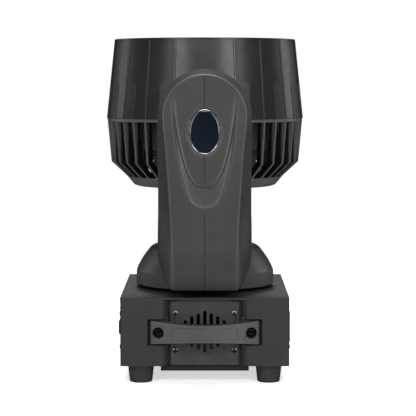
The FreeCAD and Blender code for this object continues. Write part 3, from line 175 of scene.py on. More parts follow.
def basket_plastic(name, outside_and_painted_reflection, painted_shade_inside):
    """The basket's plastic: pale on its outer faces, partly a painted reflection of the white floor, and painted
    shade, near black, between the fins.
    """
    nodes = Nodes(name)
    parts = nodes.add("ShaderNodeSeparateXYZ")
    nodes.link(nodes.place, parts.inputs["Vector"])
    radius = nodes.math("SQRT", nodes.math("ADD", nodes.math("POWER", parts.outputs["X"], 2),
                                           nodes.math("POWER", parts.outputs["Y"], 2)))
    outlines = [nodes.spread(parts.outputs["Z"], low_radius, high_radius, low_z, high_z)
                for (low_z, low_radius), (high_z, high_radius) in (RIB_LINE, BOWL_LINE)]
    depth = nodes.math("SUBTRACT", nodes.math("MINIMUM", *outlines), radius)
    # painted shade: the plastic turns dark from 0.3 mm to 2.5 mm in from the basket's outline, between the fins
    inner = nodes.spread(depth, 0, 1, 0.3 * MM, 2.5 * MM)
    nodes.link(nodes.tint(inner, outside_and_painted_reflection, painted_shade_inside), nodes.shader.inputs["Base Color"])
    sheen = nodes.noise(90, detail=5, rough=0.6)
    nodes.link(nodes.spread(sheen, 0.36, 0.46), nodes.shader.inputs["Roughness"])
    nodes.bump(nodes.noise(1500, detail=2, rough=0.7), 0.5, 0.05 * MM)
    return nodes.material


def painted_steel(name, colour, roughness):
    """Powder-coated sheet: orange-peel and slightly uneven gloss."""
    nodes = Nodes(name)
    patches = nodes.spread(nodes.noise(60, detail=4), 0, 1)
    body = nodes.tint(patches, shade(colour, 0.88), shade(colour, 1.12))
    nodes.link(body, nodes.shader.inputs["Base Color"])
    nodes.link(nodes.spread(nodes.noise(240, detail=3), roughness - 0.06, roughness + 0.06),
               nodes.shader.inputs["Roughness"])
    nodes.bump(nodes.noise(900, detail=3, rough=0.6), 0.6, 0.06 * MM)
    return nodes.material


def metal(name, colour, roughness, brushed=(1, 1, 1), scale=300):
    """Bare metal with brush marks or turning marks along a stretched noise."""
    nodes = Nodes(name, Metallic=1.0)
    marks = nodes.noise(scale, detail=6, rough=0.65, stretch=brushed)
    nodes.link(nodes.tint(nodes.spread(marks, 0, 1), shade(colour, 0.82), shade(colour, 1.08)),
               nodes.shader.inputs["Base Color"])
    nodes.link(nodes.spread(marks, roughness - 0.07, roughness + 0.1), nodes.shader.inputs["Roughness"])
    nodes.bump(marks, 0.4, 0.02 * MM)
    return nodes.material


def rubber(name, colour):
    """Matt moulded rubber with worn patches."""
    nodes = Nodes(name)
    nodes.shader.inputs["Specular IOR Level"].default_value = 0.35
    patches = nodes.spread(nodes.noise(160, detail=5), 0, 1)
    body = nodes.tint(patches, shade(colour, 0.8), shade(colour, 1.25))
    nodes.link(body, nodes.shader.inputs["Base Color"])
    nodes.link(nodes.spread(nodes.noise(400, detail=4), 0.62, 0.82), nodes.shader.inputs["Roughness"])
    nodes.bump(nodes.noise(1200, detail=4, rough=0.7), 0.6, 0.08 * MM)
    return nodes.material


def gloss(name, colour, roughness, coat=0.0):
    """Smooth plastic or lacquer with faint ripple and dust-dulled patches."""
    nodes = Nodes(name)
    nodes.shader.inputs["Coat Weight"].default_value = coat
    patches = nodes.spread(nodes.noise(35, detail=4), 0, 1)
    body = nodes.tint(patches, shade(colour, 0.8), shade(colour, 1.2))
    nodes.link(body, nodes.shader.inputs["Base Color"])
    nodes.link(nodes.spread(nodes.noise(500, detail=5), roughness * 0.7, roughness * 1.5),
               nodes.shader.inputs["Roughness"])
    nodes.bump(nodes.noise(120, detail=2), 0.15, 0.05 * MM)
    return nodes.material


def clear(name, colour):
    """Clear moulding."""
    nodes = Nodes(name, IOR=1.49)
    nodes.shader.inputs["Transmission Weight"].default_value = 1.0
    nodes.link(nodes.tint(nodes.spread(nodes.noise(80), 0, 1), shade(colour, 0.94), colour),
               nodes.shader.inputs["Base Color"])
    nodes.link(nodes.spread(nodes.noise(300, detail=4), 0.04, 0.08), nodes.shader.inputs["Roughness"])
    nodes.bump(nodes.noise(260), 0.2, 0.02 * MM)
    return nodes.material


def circuit_board(name, mask):
    """Solder mask with the paler shapes of the copper under it."""
    nodes = Nodes(name)
    cells = nodes.add("ShaderNodeTexVoronoi", feature="DISTANCE_TO_EDGE")
    cells.inputs["Scale"].default_value = 260
    nodes.link(nodes.place, cells.inputs["Vector"])
    tracks = nodes.spread(cells.outputs["Distance"], 0, 1, 0.05, 0.12)
    nodes.link(nodes.tint(tracks, shade(mask, 1.7), mask), nodes.shader.inputs["Base Color"])
    nodes.link(nodes.spread(nodes.noise(500), 0.25, 0.4), nodes.shader.inputs["Roughness"])
    nodes.bump(tracks, 0.4, 0.04 * MM)
    return nodes.material


materials = {
    # the covers' edges carry a painted highlight, three times paler than the plastic
    "cover_plastic": moulded_plastic("cover_plastic", (0.031, 0.031, 0.0305), 0.43, edge=3.0),
    "shroud_plastic": moulded_plastic("shroud_plastic", (0.013, 0.013, 0.013), 0.36),
    # basket: the pale outer colour is partly a painted floor reflection, and the near-black inner colour is
    # painted shade
    "basket_plastic": basket_plastic("basket_plastic", (0.07, 0.07, 0.07), (0.004, 0.004, 0.004)),
    "base_plastic": moulded_plastic("base_plastic", (0.019, 0.019, 0.019), 0.52),
    "handle_plastic": moulded_plastic("handle_plastic", (0.05, 0.05, 0.05), 0.5, grain=1100),
    "dark_steel": painted_steel("dark_steel", (0.0095, 0.0095, 0.0095), 0.45),
    # painted light: a paler copy of the dark steel for the vent plates, standing in for light that the yoke's arms
    # keep off them
    "vent_steel_painted_light": painted_steel("vent_steel_painted_light", (0.03, 0.03, 0.03), 0.5),
    "frame_steel": metal("frame_steel", (0.42, 0.42, 0.43), 0.4, (1, 1, 12)),
    "foot_rubber": rubber("foot_rubber", (0.022, 0.022, 0.022)),
    "screw_steel": metal("screw_steel", (0.20, 0.165, 0.115), 0.34, scale=900),
    "bolt_black": metal("bolt_black", (0.12, 0.115, 0.11), 0.2, scale=900),
    "display_plastic": gloss("display_plastic", (0.012, 0.012, 0.012), 0.25),
    "display_acrylic": gloss("display_acrylic", (0.008, 0.009, 0.012), 0.08, coat=0.5),
    "button_plastic": moulded_plastic("button_plastic", (0.09, 0.09, 0.09), 0.45),
    "socket_plastic": moulded_plastic("socket_plastic", (0.02, 0.02, 0.02), 0.5),
    "socket_zinc": painted_steel("socket_zinc", (0.05, 0.05, 0.052), 0.35),
    "contact_brass": metal("contact_brass", (0.75, 0.6, 0.32), 0.3, scale=700),
    "board_green": circuit_board("board_green", (0.02, 0.10, 0.04)),
    "power_parts": gloss("power_parts", (0.16, 0.10, 0.04), 0.3),
    "motor_steel": metal("motor_steel", (0.3, 0.3, 0.31), 0.38, (1, 1, 10)),
    "pulley_aluminium": metal("pulley_aluminium", (0.7, 0.7, 0.7), 0.3, (1, 1, 14)),
    "belt_rubber": rubber("belt_rubber", (0.018, 0.018, 0.018)),
    "bearing_steel": metal("bearing_steel", (0.6, 0.6, 0.6), 0.18, scale=500),
    "badge_gloss": gloss("badge_gloss", (0.006, 0.009, 0.014), 0.07, coat=1.0),
    "badge_rim": metal("badge_rim", (0.5, 0.51, 0.52), 0.25, scale=800),
    # heat sink: a black anodised finish, darkened to near black as painted shade seen through the basket's slots
    "sink_aluminium": painted_steel("sink_aluminium", (0.008, 0.008, 0.008), 0.5),
    "led_white": gloss("led_white", (0.7, 0.7, 0.68), 0.4),
    "lens_clear": clear("lens_clear", (0.96, 0.98, 1.0)),
    "lens_plate_black": moulded_plastic("lens_plate_black", (0.018, 0.018, 0.018), 0.5),
    "fan_plastic": moulded_plastic("fan_plastic", (0.018, 0.018, 0.018), 0.45),
}


# ---- mesh helpers -----------------------------------------------------------------------------

SHARP = 35      # degrees between two faces, from which the edge between them is a crease


def welded(name, vertices, faces, merge):
    """A mesh whose doubled points are merged and whose normals point out."""
    mesh = bpy.data.meshes.new(name)
    mesh.from_pydata([tuple(v) for v in vertices], [], faces)
    work = bmesh.new()
    work.from_mesh(mesh)
    bmesh.ops.remove_doubles(work, verts=work.verts, dist=merge)
    bmesh.ops.dissolve_degenerate(work, edges=work.edges, dist=merge / 2)
    bmesh.ops.recalc_face_normals(work, faces=work.faces)
    work.to_mesh(mesh)
    work.free()
    return mesh


def add_piece(name, vertices, faces, body, slot, material=None, replaced=(), sharp=SHARP, merge=0.02 * MM):
    """A welded mesh in the row frame that rides a body; material is the slot's unless it is named."""
    mesh = welded(name, vertices, faces, merge)
    piece = bpy.data.objects.new(name, mesh)
    bpy.context.scene.collection.objects.link(piece)
    mesh.polygons.foreach_set("use_smooth", [True] * len(mesh.polygons))
    mesh.set_sharp_from_angle(angle=math.radians(sharp))
    mesh.materials.append(materials[material or slot])
    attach(piece, body)
    if replaced:
        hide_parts(*replaced)
    return piece


def soften(piece, width):
    """Rounds the hard edges of a piece without touching its mesh."""
    weld = piece.modifiers.new("weld", "WELD")
    weld.merge_threshold = 0.01 * MM
    bevel = piece.modifiers.new("edges", "BEVEL")
    bevel.width = width
    bevel.segments = 2
    bevel.limit_method = "ANGLE"
    bevel.angle_limit = math.radians(40)
    bevel.harden_normals = True
    bevel.use_clamp_overlap = True
    normals = piece.modifiers.new("normals", "WEIGHTED_NORMAL")
    normals.keep_sharp = True


def grid(rows):
    """Vertices and faces of an open sheet given as rows of points."""
    return [point for row in rows for point in row], quads(len(rows), len(rows[0]))


def quads(rows, columns, closed=False):
    """Faces of a grid of vertices stored row by row; closed joins the last column to the first."""
    faces = []
    last = columns if closed else columns - 1
    for row in range(rows - 1):
        for column in range(last):
            beside = (column + 1) % columns
            faces.append((row * columns + column, row * columns + beside,
                          (row + 1) * columns + beside, (row + 1) * columns + column))
    return faces


def joined(parts):
    """Several (vertices, faces) pairs as one."""
    vertices, faces = [], []
    for part_vertices, part_faces in parts:
        offset = len(vertices)
        vertices += [tuple(v) for v in part_vertices]
        faces += [tuple(index + offset for index in face) for face in part_faces]
    return vertices, faces


def moved(part, matrix):
    """A (vertices, faces) pair put through a matrix."""
    vertices, faces = part
    return [tuple(matrix @ Vector(v)) for v in vertices], faces


def drilled(piece, cutters):
    """Applies a piece's modifiers, cuts the cutters out of it and leaves a plain mesh."""
    mesh = welded("cutter", *joined(cutters), 0.01 * MM)
    tool = bpy.data.objects.new("cutter", mesh)
    bpy.context.scene.collection.objects.link(tool)
    modifier = piece.modifiers.new("holes", "BOOLEAN")
    modifier.operation = "DIFFERENCE"
    modifier.solver = "EXACT"
    modifier.object = tool
    bpy.context.view_layer.update()
    result = bpy.data.meshes.new_from_object(piece.evaluated_get(bpy.context.evaluated_depsgraph_get()))
    piece.modifiers.clear()
    old = piece.data
    piece.data = result
    bpy.data.meshes.remove(old)
    bpy.data.objects.remove(tool)
    bpy.data.meshes.remove(mesh)
    piece.data.set_sharp_from_angle(angle=math.radians(SHARP))


def aimed(spot, direction):
    """The matrix that takes the origin to a spot and Z to a direction."""
    return Matrix.Translation(spot) @ Vector(direction).to_track_quat("Z", "Y").to_matrix().to_4x4()


def cylinder(radius, base, direction, length, steps=24):
    """A closed cylinder as (vertices, faces): four rings about its axis, the outer two on the axis."""
    rings = [(0.0, 0.0), (radius, 0.0), (radius, length), (0.0, length)]
    turns = [2 * math.pi * step / steps for step in range(steps)]
    vertices = [(r * math.cos(turn), r * math.sin(turn), z) for r, z in rings for turn in turns]
    return moved((vertices, quads(len(rings), steps, closed=True)), aimed(base, direction))


# ---- yoke covers ------------------------------------------------------------------------------

def smooth_curve(points, count):
    """Points at even distances along a smooth curve through the given ones, in metres."""
    knots = [2 * Vector(points[0]) - Vector(points[1]), *map(Vector, points),
             2 * Vector(points[-1]) - Vector(points[-2])]
    fine = []
    for span in range(len(points) - 1):
        a, b, c, d = knots[span:span + 4]
        for step in range(40):
            t = step / 40
            fine.append(0.5 * (2 * b + (c - a) * t + (2 * a - 5 * b + 4 * c - d) * t * t
                               + (3 * b - a - 3 * c + d) * t ** 3))
    fine.append(Vector(points[-1]))
    table = np.array([tuple(point) for point in fine]) * MM
    reach = np.concatenate([[0], np.cumsum(np.hypot(*np.diff(table, axis=0).T))])
    even = np.linspace(0, reach[-1], count)
    return np.column_stack([np.interp(even, reach, table[:, 0]), np.interp(even, reach, table[:, 1])])


# Curves as (half-width, height): the edge of the arm's outer face, and the two nested lines of the
# groove in that face.
FACE_EDGE = smooth_curve([(37.1, 150), (37.2, 172), (38.2, 192), (39.9, 222), (43.0, 266), (45.8, 292),
                          (46.6, 306)], 200)
GROOVE_OUTER = smooth_curve([(0, 205), (9.4, 208), (16.7, 216), (23.3, 233), (28.5, 253), (32.1, 275),
                             (35.1, 298), (36.5, 317), (37.3, 331)], 400)
GROOVE_INNER = smooth_curve([(0, 228), (7.8, 230), (13.8, 236), (19.6, 247), (24.8, 264), (29.2, 284),
                             (32.9, 309), (34.9, 331)], 400)
GROOVE_DEPTH = 2.3 * MM
GROOVE_TOP = 331 * MM
FAN_LOW = 194 * MM          # height under which the rows of the face run level
FAN_TURN = 0.22             # share along the groove below which its rows end on that level
CREASE = 1.3 * MM           # radius between the face and the sloping side
INNER_EDGE = 2.2 * MM       # radius between the sloping side and the inner wall
SEAM = 0.06 * MM            # half of the gap between the covers
CHAMFER = 0.5 * MM          # width of the covers' bevel at the seam
SIDE_START = 0.05           # share of the arm's depth where the sloping side leaves the crease
TILT_HOLE = 12.7 * MM       # radius of the hole in the inner wall round the tilt shaft
FULL_BELOW = 205 * MM       # height under which the sloping side starts to bulge
FULLEST = 2.1               # exponent of that bulge at the bend
BADGE_SINK = 1.0 * MM       # how far the badge's seat lies under the face
BADGE_CLEAR = 0.6 * MM      # gap between the badge and the edge of its seat
BADGE_HALF = Vector(((badge_high.x - badge_low.x) / 2, 0, (badge_high.z - badge_low.z) / 2))
BADGE_Z = (badge_high.z + badge_low.z) / 2

# How finely the covers are divided: rows of each stretch, and the shares of a row at its columns.
SIDE_STEPS, ARCH_STEPS, FAN_STEPS, STRAIGHT_STEPS, BEND_STEPS, BAR_STEPS = 12, 30, 60, 16, 24, 12
SEAM_XS = [SEAM, CHAMFER, 1.2 * MM]     # the columns nearest the seam
SEAM_SHARE = 0.06                       # the most of a row that they take up
BOTTOM_HALF = 36.6 * MM                 # about half of the face's width round the bend
BOTTOM_SHARES = [x / BOTTOM_HALF for x in SEAM_XS] + [i / 12 for i in range(1, 13)]
INNER_SHARES = [i / 14 for i in range(1, 15)]
OUTER_SHARES = [0.12, 0.25, 0.4, 0.55, 0.7, 0.85, 1.0]


def face_half(z):
    """Half-width of the outer face at a height."""
    return float(np.interp(z, FACE_EDGE[:, 1], FACE_EDGE[:, 0]))


def along(curve, share):
    """The point of an evenly spaced curve at a share of its length."""
    index = share * (len(curve) - 1)
    steps = np.arange(len(curve))
    return Vector((float(np.interp(index, steps, curve[:, 0])), float(np.interp(index, steps, curve[:, 1]))))


def crown(x):
    """How far the outer face lies below its plane: a slight crown and a chamfer at the seam."""
    return 0.7 * MM * (x / ARM_HALF) ** 2 + 0.4 * MM * max(0.0, 1 - x / CHAMFER)


def edge_station(z):
    """The station whose face edge lies at a height."""
    if z <= TILT_Z:
        return "straight", z
    return "arch", math.asin(min(1.0, (z - TILT_Z) / (face_half(TILT_Z) - CREASE)))


def station_point(kind, value, half, depth):
    """A point of a section: half is the distance from the seam plane, depth is in from the face."""
    if kind == "arch":
        return Vector((half * math.cos(value), ARM_OUTER - depth, TILT_Z + half * math.sin(value)))
    if kind == "straight":
        return Vector((half, ARM_OUTER - depth, value))
    radius = BEND_OUTER - depth
    if kind == "bend":
        return Vector((half, BEND_Y + radius * math.cos(value), BEND_Z - radius * math.sin(value)))
    return Vector((half, value, BEND_Z - radius))


def narrow_half(kind, value):
    """Half-width of the outer face at a section."""
    return face_half(value if kind == "straight" else (TILT_Z if kind == "arch" else BEND_Z))


def face_end(kind, value):
    """Where the flat face ends before its rounded crease: along the section, and across the arm."""
    half = narrow_half(kind, value) - CREASE
    across = half * math.cos(value) if kind == "arch" else half
    return half, across


def fullness(kind, value):
    """Exponent of the sloping side: 1 is flat, higher bulges out as it does round the bend."""
    if kind == "arch":
        return 1.0
    if kind == "straight":
        rise = max(0.0, min(1.0, (FULL_BELOW - value) / (FULL_BELOW - BEND_Z)))
        return 1.0 + (FULLEST - 1.0) * rise * rise * (3 - 2 * rise)
    return FULLEST


def side_half(kind, value, share):
    """Half-width of the sloping side at a share of the arm's depth."""
    narrow = narrow_half(kind, value)
    return narrow + (ARM_HALF - narrow) * (1 - (1 - share) ** fullness(kind, value))


def bent(start, corner, end, shares):
    """Points of the curve that leaves start for a corner and turns there towards end."""
    return [start.lerp(corner, t).lerp(corner.lerp(end, t), t) for t in shares]


def side_section(kind, value):
    """The rounded crease, the sloping side and the inner wall of one section."""
    half, across = face_end(kind, value)
    first = Vector((half, crown(max(across, SEAM))))
    last = Vector((side_half(kind, value, SIDE_START), SIDE_START * ARM_DEPTH))
    path = bent(first, Vector((narrow_half(kind, value), 0.3 * MM)), last, (0, 0.2, 0.4, 0.6, 0.8, 1))
    for step in range(1, SIDE_STEPS + 1):
        share = SIDE_START + (1 - 2 * SIDE_START) * step / SIDE_STEPS
        path.append(Vector((side_half(kind, value, share), share * ARM_DEPTH)))
    path += bent(path[-1], Vector((ARM_HALF, ARM_DEPTH)), Vector((ARM_HALF - INNER_EDGE, ARM_DEPTH)),
                 (0.25, 0.5, 0.75, 1))
    points = [station_point(kind, value, *spot) for spot in path]
    points[0].x = max(points[0].x, SEAM)
    inner_end = points[-1]
    stop = SEAM
    if abs(inner_end.z - TILT_Z) < TILT_HOLE and kind in ("arch", "straight"):
        stop = math.sqrt(TILT_HOLE ** 2 - (inner_end.z - TILT_Z) ** 2)
    reach = max(SEAM, inner_end.x)
    stop = min(stop, reach)
    for step in range(1, SIDE_STEPS + 1):
        points.append(Vector((reach + (stop - reach) * step / SIDE_STEPS, inner_end.y, inner_end.z)))
    return points


def face_row(seam_point, inner, outer, end, groove):
    """One row of the face from the seam to the crease, over the groove between its two lines."""
    spots = [(seam_point, 0.0)]
    reach = inner.x - seam_point.x
    for x in SEAM_XS[1:]:
        share = min(SEAM_SHARE, (x - SEAM) / max(1e-9, reach)) if reach > 0 else 0
        spots.append((seam_point.lerp(inner, share), 0.0))
    spots += [(seam_point.lerp(inner, SEAM_SHARE + (1 - SEAM_SHARE) * share), 0.0) for share in INNER_SHARES]
    width = (outer - inner).length
    depth = min(GROOVE_DEPTH, 0.26 * width) * groove
    wall = min(1.0 * MM, 0.35 * width) / max(width, 1e-9)
    spots += [(inner.lerp(outer, wall * 0.4), depth * 0.5), (inner.lerp(outer, wall), depth)]
    for share in (0.2, 0.4, 0.6, 0.8):
        spots.append((inner.lerp(outer, wall + (1 - wall) * share), depth * (1 - share * 0.85)))
    spots.append((inner.lerp(outer, 0.97), depth * 0.13))
    spots.append((outer, 0.0))
    spots += [(outer.lerp(end, share), 0.0) for share in OUTER_SHARES]
    row = []
    for spot, dent in spots:
        x = max(spot.x, SEAM)
        oval = math.hypot(x / (BADGE_HALF.x + BADGE_CLEAR), (spot.y - BADGE_Z) / (BADGE_HALF.z + BADGE_CLEAR))
        row.append(Vector((x, ARM_OUTER - dent - crown(x) - (BADGE_SINK if oval < 1 else 0.0), spot.y)))
    return row


def yoke_quarter():
    """One arm and half the bar, on one side of the seam: face, side and inner wall."""
    side_rows = []

    top_end = face_end(*edge_station(GROOVE_TOP))[1]
    lines = along(GROOVE_INNER, 1.0), along(GROOVE_OUTER, 1.0)
    ratios = [min(0.985, line.x / top_end) for line in lines]
    rows = []
    top_angle = edge_station(GROOVE_TOP)[1]
    for step in range(ARCH_STEPS + 1):
        angle = math.pi / 2 + (top_angle - math.pi / 2) * step / ARCH_STEPS
        half, across = face_end("arch", angle)
        z = TILT_Z + half * math.sin(angle)
        across = max(across, SEAM)
        marks = [Vector((max(SEAM, across * ratio), z)) for ratio in ratios]
        rows.append(face_row(Vector((SEAM, z)), *marks, Vector((across, z)), 0.0))
        side_rows.append(side_section("arch", angle))
    fan_shares = [FAN_TURN + (1 - FAN_TURN) * (1 - i / FAN_STEPS) for i in range(1, FAN_STEPS + 1)]
    for share in fan_shares + [FAN_TURN * t for t in reversed(BOTTOM_SHARES[:-1])]:
        inner, outer = along(GROOVE_INNER, share), along(GROOVE_OUTER, share)
        outer.x = min(outer.x, top_end * 0.985) if share > 0.95 else outer.x
        middle = Vector((SEAM, GROOVE_INNER[0, 1] + (GROOVE_TOP - GROOVE_INNER[0, 1]) * share))
        if share >= FAN_TURN:
            height = FAN_LOW + (GROOVE_TOP - FAN_LOW) * (share - FAN_TURN) / (1 - FAN_TURN)
            station = edge_station(height)
            end = Vector((face_end(*station)[1], height))
            side_rows.append(side_section(*station))
        else:
            end = Vector((max(SEAM, face_end("straight", FAN_LOW)[1] * share / FAN_TURN), FAN_LOW))
        for line in (inner, outer):
            line.x = max(line.x, SEAM)
        fade = min(1.0, (1 - share) / 0.08)
        rows.append(face_row(middle, inner, outer, end, fade))

    stations = [("straight", FAN_LOW + (BEND_Z - FAN_LOW) * i / STRAIGHT_STEPS)
                for i in range(STRAIGHT_STEPS + 1)]
    stations += [("bend", math.radians(90 * i / BEND_STEPS)) for i in range(1, BEND_STEPS + 1)]
    stations += [("bar", BEND_Y * (1 - i / BAR_STEPS)) for i in range(1, BAR_STEPS + 1)]
    lower = []
    for index, (kind, value) in enumerate(stations):
        reach = face_end(kind, value)[1]
        xs = [max(SEAM, reach * share) for share in BOTTOM_SHARES]
        lower.append([station_point(kind, value, x, crown(x)) for x in xs])
        if index:
            side_rows.append(side_section(kind, value))
    return joined([grid(rows), grid(lower), grid(side_rows)])


# The screws of the yoke's bends: their angle from straight down, their distances from the bend's
# centre, and the hole that is cut for each, which starts outside the cover.
BEND_SCREW_ANGLE = math.radians(24)
BEND_SCREW_RADII = (23.3 * MM, 29.5 * MM)
BEND_HOLE_RADIUS, BEND_HOLE_START, BEND_HOLE_LENGTH = 3.1 * MM, 3 * MM, 8 * MM


def screw_spots():
    """Places and outward directions of the screws in the sloping sides of the yoke's bends."""
    spots = []
    step = 0.02
    for radius in BEND_SCREW_RADII:
        share = 1 - (radius - (BEND_OUTER - ARM_DEPTH)) / ARM_DEPTH
        half = side_half("bend", 0, share)
        slope = (side_half("bend", 0, share + step) - half) / (step * ARM_DEPTH)
        for sx in (-1, 1):
            for sy in (-1, 1):
                radial = Vector((0, sy * math.sin(BEND_SCREW_ANGLE), -math.cos(BEND_SCREW_ANGLE)))
                spot = Vector((sx * half, sy * BEND_Y, BEND_Z)) + radial * radius
                spots.append((spot, (Vector((sx, 0, 0)) + radial * slope).normalized()))
    return spots


def yoke_half(name, side, node):
    """Half of the U: both arms and the bar, on one side of the seam, as a thick moulding."""
    vertices, faces = yoke_quarter()
    half = [(side * x, y, z) for x, y, z in vertices], faces
    other = [(x, -y, z) for x, y, z in half[0]], faces
    piece = add_piece(name, *joined([half, other]), "yoke", "cover_plastic", replaced=[node])
    shell = piece.modifiers.new("wall", "SOLIDIFY")
    shell.thickness = WALL
    shell.offset = -1
    drilled(piece, [cylinder(BEND_HOLE_RADIUS, spot + outward * BEND_HOLE_START, -outward, BEND_HOLE_LENGTH)
                    for spot, outward in screw_spots() if spot.x * side > 0])


yoke_half("yoke_cover_rear_shell", 1, "yoke_cover_rear")
yoke_half("yoke_cover_front_shell", -1, "yoke_cover_front")


# ---- badges -----------------------------------------------------------------------------------

OVAL_STEPS = 96

# Sections from the outside in, as (share of the badge's half sizes, height above its seat).
RIM_LEVELS = [(1.0, 0.0), (1.0, 0.9 * MM), (0.985, 1.25 * MM), (0.965, 1.3 * MM), (0.945, 1.1 * MM),
              (0.94, 0.3 * MM), (0.94, 0.0), (1.0, 0.0)]
DOME_LEVELS = [(0.938, 0.0), (0.938, 0.75 * MM)]
DOME_LEVELS += [(0.93 * math.cos(t), 0.8 * MM + 0.95 * MM * math.sin(t))
                for t in (math.radians(5 + 85 * i / 16) for i in range(17))]


def ovals(levels, floor=()):
    """An oval shape in each arm's face, with its section turned round the badge; floor closes it."""
    turns = [2 * math.pi * step / OVAL_STEPS for step in range(OVAL_STEPS)]
    faces = quads(len(levels), OVAL_STEPS, closed=True) + list(floor)
    seat = ARM_OUTER - BADGE_SINK
    return joined([([(BADGE_HALF.x * share * math.cos(turn), side * (seat + height),
                      BADGE_HALF.z * share * math.sin(turn) + BADGE_Z)
                     for share, height in levels for turn in turns], faces) for side in (-1, 1)])


dome_floor = tuple(reversed(range(OVAL_STEPS)))
add_piece("badge_domes", *ovals(DOME_LEVELS, [dome_floor]), "yoke", "badge_gloss", replaced=["badges"])
add_piece("badge_rims", *ovals(RIM_LEVELS), "yoke", "badge_gloss", material="badge_rim")


# ---- cross-head screws ------------------------------------------------------------------------

RING_SHARES = [0.0, 0.08, 0.16, 0.24, 0.32, 0.4, 0.48, 0.56, 0.66, 0.78, 0.9, 1.0]
RING_STEPS = 64
HEAD_HEIGHT = 1.1 * MM
CROSS_DEPTH = 0.8               # share of the head's height
CROSS_HALF, CROSS_REACH = 0.13, 0.6     # half the width and half the length of a slot, by the radius
YOKE_SCREW_SINK = 4.5 * MM      # how far the yoke's screws lie under the covers' surface

# The base's screws, in mm: beside the vents, on the long sides, and one inside each foot, facing down.
VENT_SCREW_X, VENT_SCREW_Y, VENT_SCREW_ZS = 33.6, 111.5, (38.3, 80.8)
SIDE_SCREW_X, SIDE_SCREW_Y, SIDE_SCREW_ZS = 96.5, 110, (42.5, 80.7)
FOOT_SCREW_X, FOOT_SCREW_Y, FOOT_SCREW_Z = 81.5, 96, 7


def screw_head(radius):
    """A pan head with a cross recess: a polar grid whose middle is pushed in along two bars."""
    turns = [2 * math.pi * step / RING_STEPS for step in range(RING_STEPS)]
    vertices = []
    for ring in RING_SHARES:
        for turn in turns:
            x, y = radius * ring * math.cos(turn), radius * ring * math.sin(turn)
            z = HEAD_HEIGHT * math.sqrt(max(0.0, 1 - (0.85 * ring) ** 2))
            if min(abs(x), abs(y)) < CROSS_HALF * radius and ring < CROSS_REACH:
                z -= HEAD_HEIGHT * CROSS_DEPTH * min(1.0, (CROSS_REACH - ring) * 8)
            vertices.append((x, y, z))
    base = len(vertices)
    vertices += [(radius * math.cos(turn), radius * math.sin(turn), 0) for turn in turns]
    faces = quads(len(RING_SHARES) + 1, RING_STEPS, closed=True)
    faces.append(tuple(reversed(range(base, base + RING_STEPS))))
    return vertices, faces


def screws(name, places, radius, body, slot, replaced):
    """Pan heads at several places, each turned to a different angle."""
    head = screw_head(radius)
    parts = [moved(head, aimed(spot, outward) @ Matrix.Rotation(index * 0.9, 4, "Z"))
             for index, (spot, outward) in enumerate(places)]
    add_piece(name, *joined(parts), body, slot, replaced=replaced, sharp=40, merge=0.002 * MM)


screws("yoke_screws", [(spot - outward * YOKE_SCREW_SINK, outward) for spot, outward in screw_spots()],
       radius=2.4 * MM, body="yoke", slot="bolt_black", replaced=["cover_screws"])

base_screws = []
for sy in (-1, 1):
    for sx in (-1, 1):
        base_screws += [(Vector((sx * VENT_SCREW_X, sy * VENT_SCREW_Y, z)) * MM, Vector((0, sy, 0)))
                        for z in VENT_SCREW_ZS]
        base_screws += [(Vector((sx * SIDE_SCREW_X, sy * SIDE_SCREW_Y, z)) * MM, Vector((sx, 0, 0)))
                        for z in SIDE_SCREW_ZS]
        base_screws.append((Vector((sx * FOOT_SCREW_X, sy * FOOT_SCREW_Y, FOOT_SCREW_Z)) * MM,
                            Vector((0, 0, -1))))
screws("base_screw_heads", base_screws, radius=2.8 * MM, body="base", slot="screw_steel",
       replaced=["base_screws"])


# ---- camera, light and floor ------------------------------------------------------------------

CAMERA_SPOT = (3.7 * MM, -2.0, 0.344)
CAMERA_LENS = 144.26            # mm, for a sensor of 36 mm
CAMERA_DIP = math.radians(4.32)
LAMP_AIM = Vector((0, 0, 0.25))
FLOOR_HALF = 1.1
FLOOR_GLOW = 0.6

# Each lamp: where it stands, its width and height, and its brightness as a surface.
LAMPS = [
    ("key_left", (-1.055, -1.757, 0.75), (0.5, 1.2), 7.5),
    ("key_right", (1.055, -1.757, 0.75), (0.5, 1.2), 9.5),
    ("key_middle", (0.0, -1.95, 1.4), (0.7, 0.4), 12.0),
    ("side_left", (-1.41, 0.7, 0.75), (0.5, 1.0), 1.7),
    ("side_right", (1.41, 0.7, 0.75), (0.5, 1.0), 2.4),
    ("back_top", (0.0, 1.5, 1.45), (0.7, 0.5), 8.0),
    ("top", (0.0, -0.1, 1.9), (1.6, 1.2), 7.0),
]


def add_camera():
    camera_data = bpy.data.cameras.new("camera")
    camera_data.sensor_width = 36
    camera_data.lens = CAMERA_LENS
    camera = bpy.data.objects.new("camera", camera_data)
    camera.location = CAMERA_SPOT
    camera.rotation_euler = (math.pi / 2 - CAMERA_DIP, 0, 0)
    bpy.context.scene.collection.objects.link(camera)
    bpy.context.scene.camera = camera


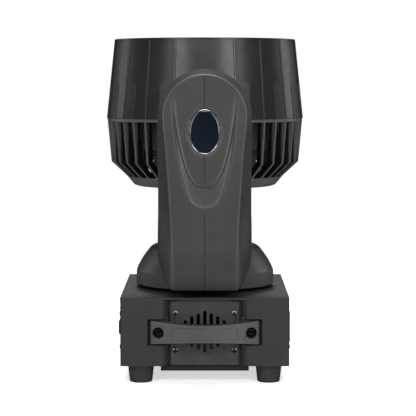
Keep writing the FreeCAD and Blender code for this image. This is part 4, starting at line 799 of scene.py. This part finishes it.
def add_world():
    """A white world that the camera sees and that lights nothing."""
    world = bpy.data.worlds.new("studio")
    world.use_nodes = True
    world.node_tree.nodes["Background"].inputs["Color"].default_value = (1, 1, 1, 1)
    world.node_tree.nodes["Background"].inputs["Strength"].default_value = 1.0
    world.cycles_visibility.glossy = False
    world.cycles_visibility.diffuse = False
    bpy.context.scene.world = world
    bpy.context.scene.view_settings.view_transform = "Standard"


def add_lamps():
    for name, spot, extent, brightness in LAMPS:
        data = bpy.data.lights.new(name, "AREA")
        data.shape = "RECTANGLE"
        data.size, data.size_y = extent
        data.energy = math.pi * extent[0] * extent[1] * brightness
        lamp = bpy.data.objects.new(name, data)
        lamp.location = spot
        lamp.rotation_euler = (LAMP_AIM - Vector(spot)).to_track_quat("-Z", "Y").to_euler()
        lamp.visible_camera = False
        bpy.context.scene.collection.objects.link(lamp)


def add_floor():
    """A white floor that glows a little, so that only the contact shadows darken it."""
    nodes = Nodes("floor")
    nodes.shader.inputs["Emission Strength"].default_value = FLOOR_GLOW
    nodes.link(nodes.tint(nodes.spread(nodes.noise(2), 0, 1), (0.86, 0.86, 0.86), (0.9, 0.9, 0.9)),
               nodes.shader.inputs["Base Color"])
    nodes.shader.inputs["Emission Color"].default_value = (1, 1, 1, 1)
    nodes.link(nodes.spread(nodes.noise(5), 0.7, 0.9), nodes.shader.inputs["Roughness"])
    mesh = bpy.data.meshes.new("floor")
    corners = [(x * FLOOR_HALF, y * FLOOR_HALF, 0) for x, y in ((-1, -1), (1, -1), (1, 1), (-1, 1))]
    mesh.from_pydata(corners, [], [(0, 1, 2, 3)])
    mesh.materials.append(nodes.material)
    floor = bpy.data.objects.new("floor", mesh)
    bpy.context.scene.collection.objects.link(floor)
    floor.visible_glossy = False


add_camera()
add_world()
add_lamps()
add_floor()


# ---- the CAD's own nodes ----------------------------------------------------------------------

# Each takes its slot's material, or one of its own, and rounded edges.
EDGE_RADIUS = 0.4 * MM
slot_of = {entry["node"]: entry["material_slot"] for entry in frame["record"]["subparts"]}
# the vent plates take the painted-light copy of the dark steel, and the basket takes painted shade between its
# fins
own_material = {"vent_plates": "vent_steel_painted_light", "rear_basket": "basket_plastic",
                "base_cover_left": "base_plastic", "base_cover_right": "base_plastic"}
for node, piece in frame["nodes"].items():
    for index in range(max(1, len(piece.material_slots))):
        if not piece.material_slots:
            piece.data.materials.append(None)
        piece.material_slots[index].material = materials[own_material.get(node, slot_of[node])]
    soften(piece, EDGE_RADIUS)
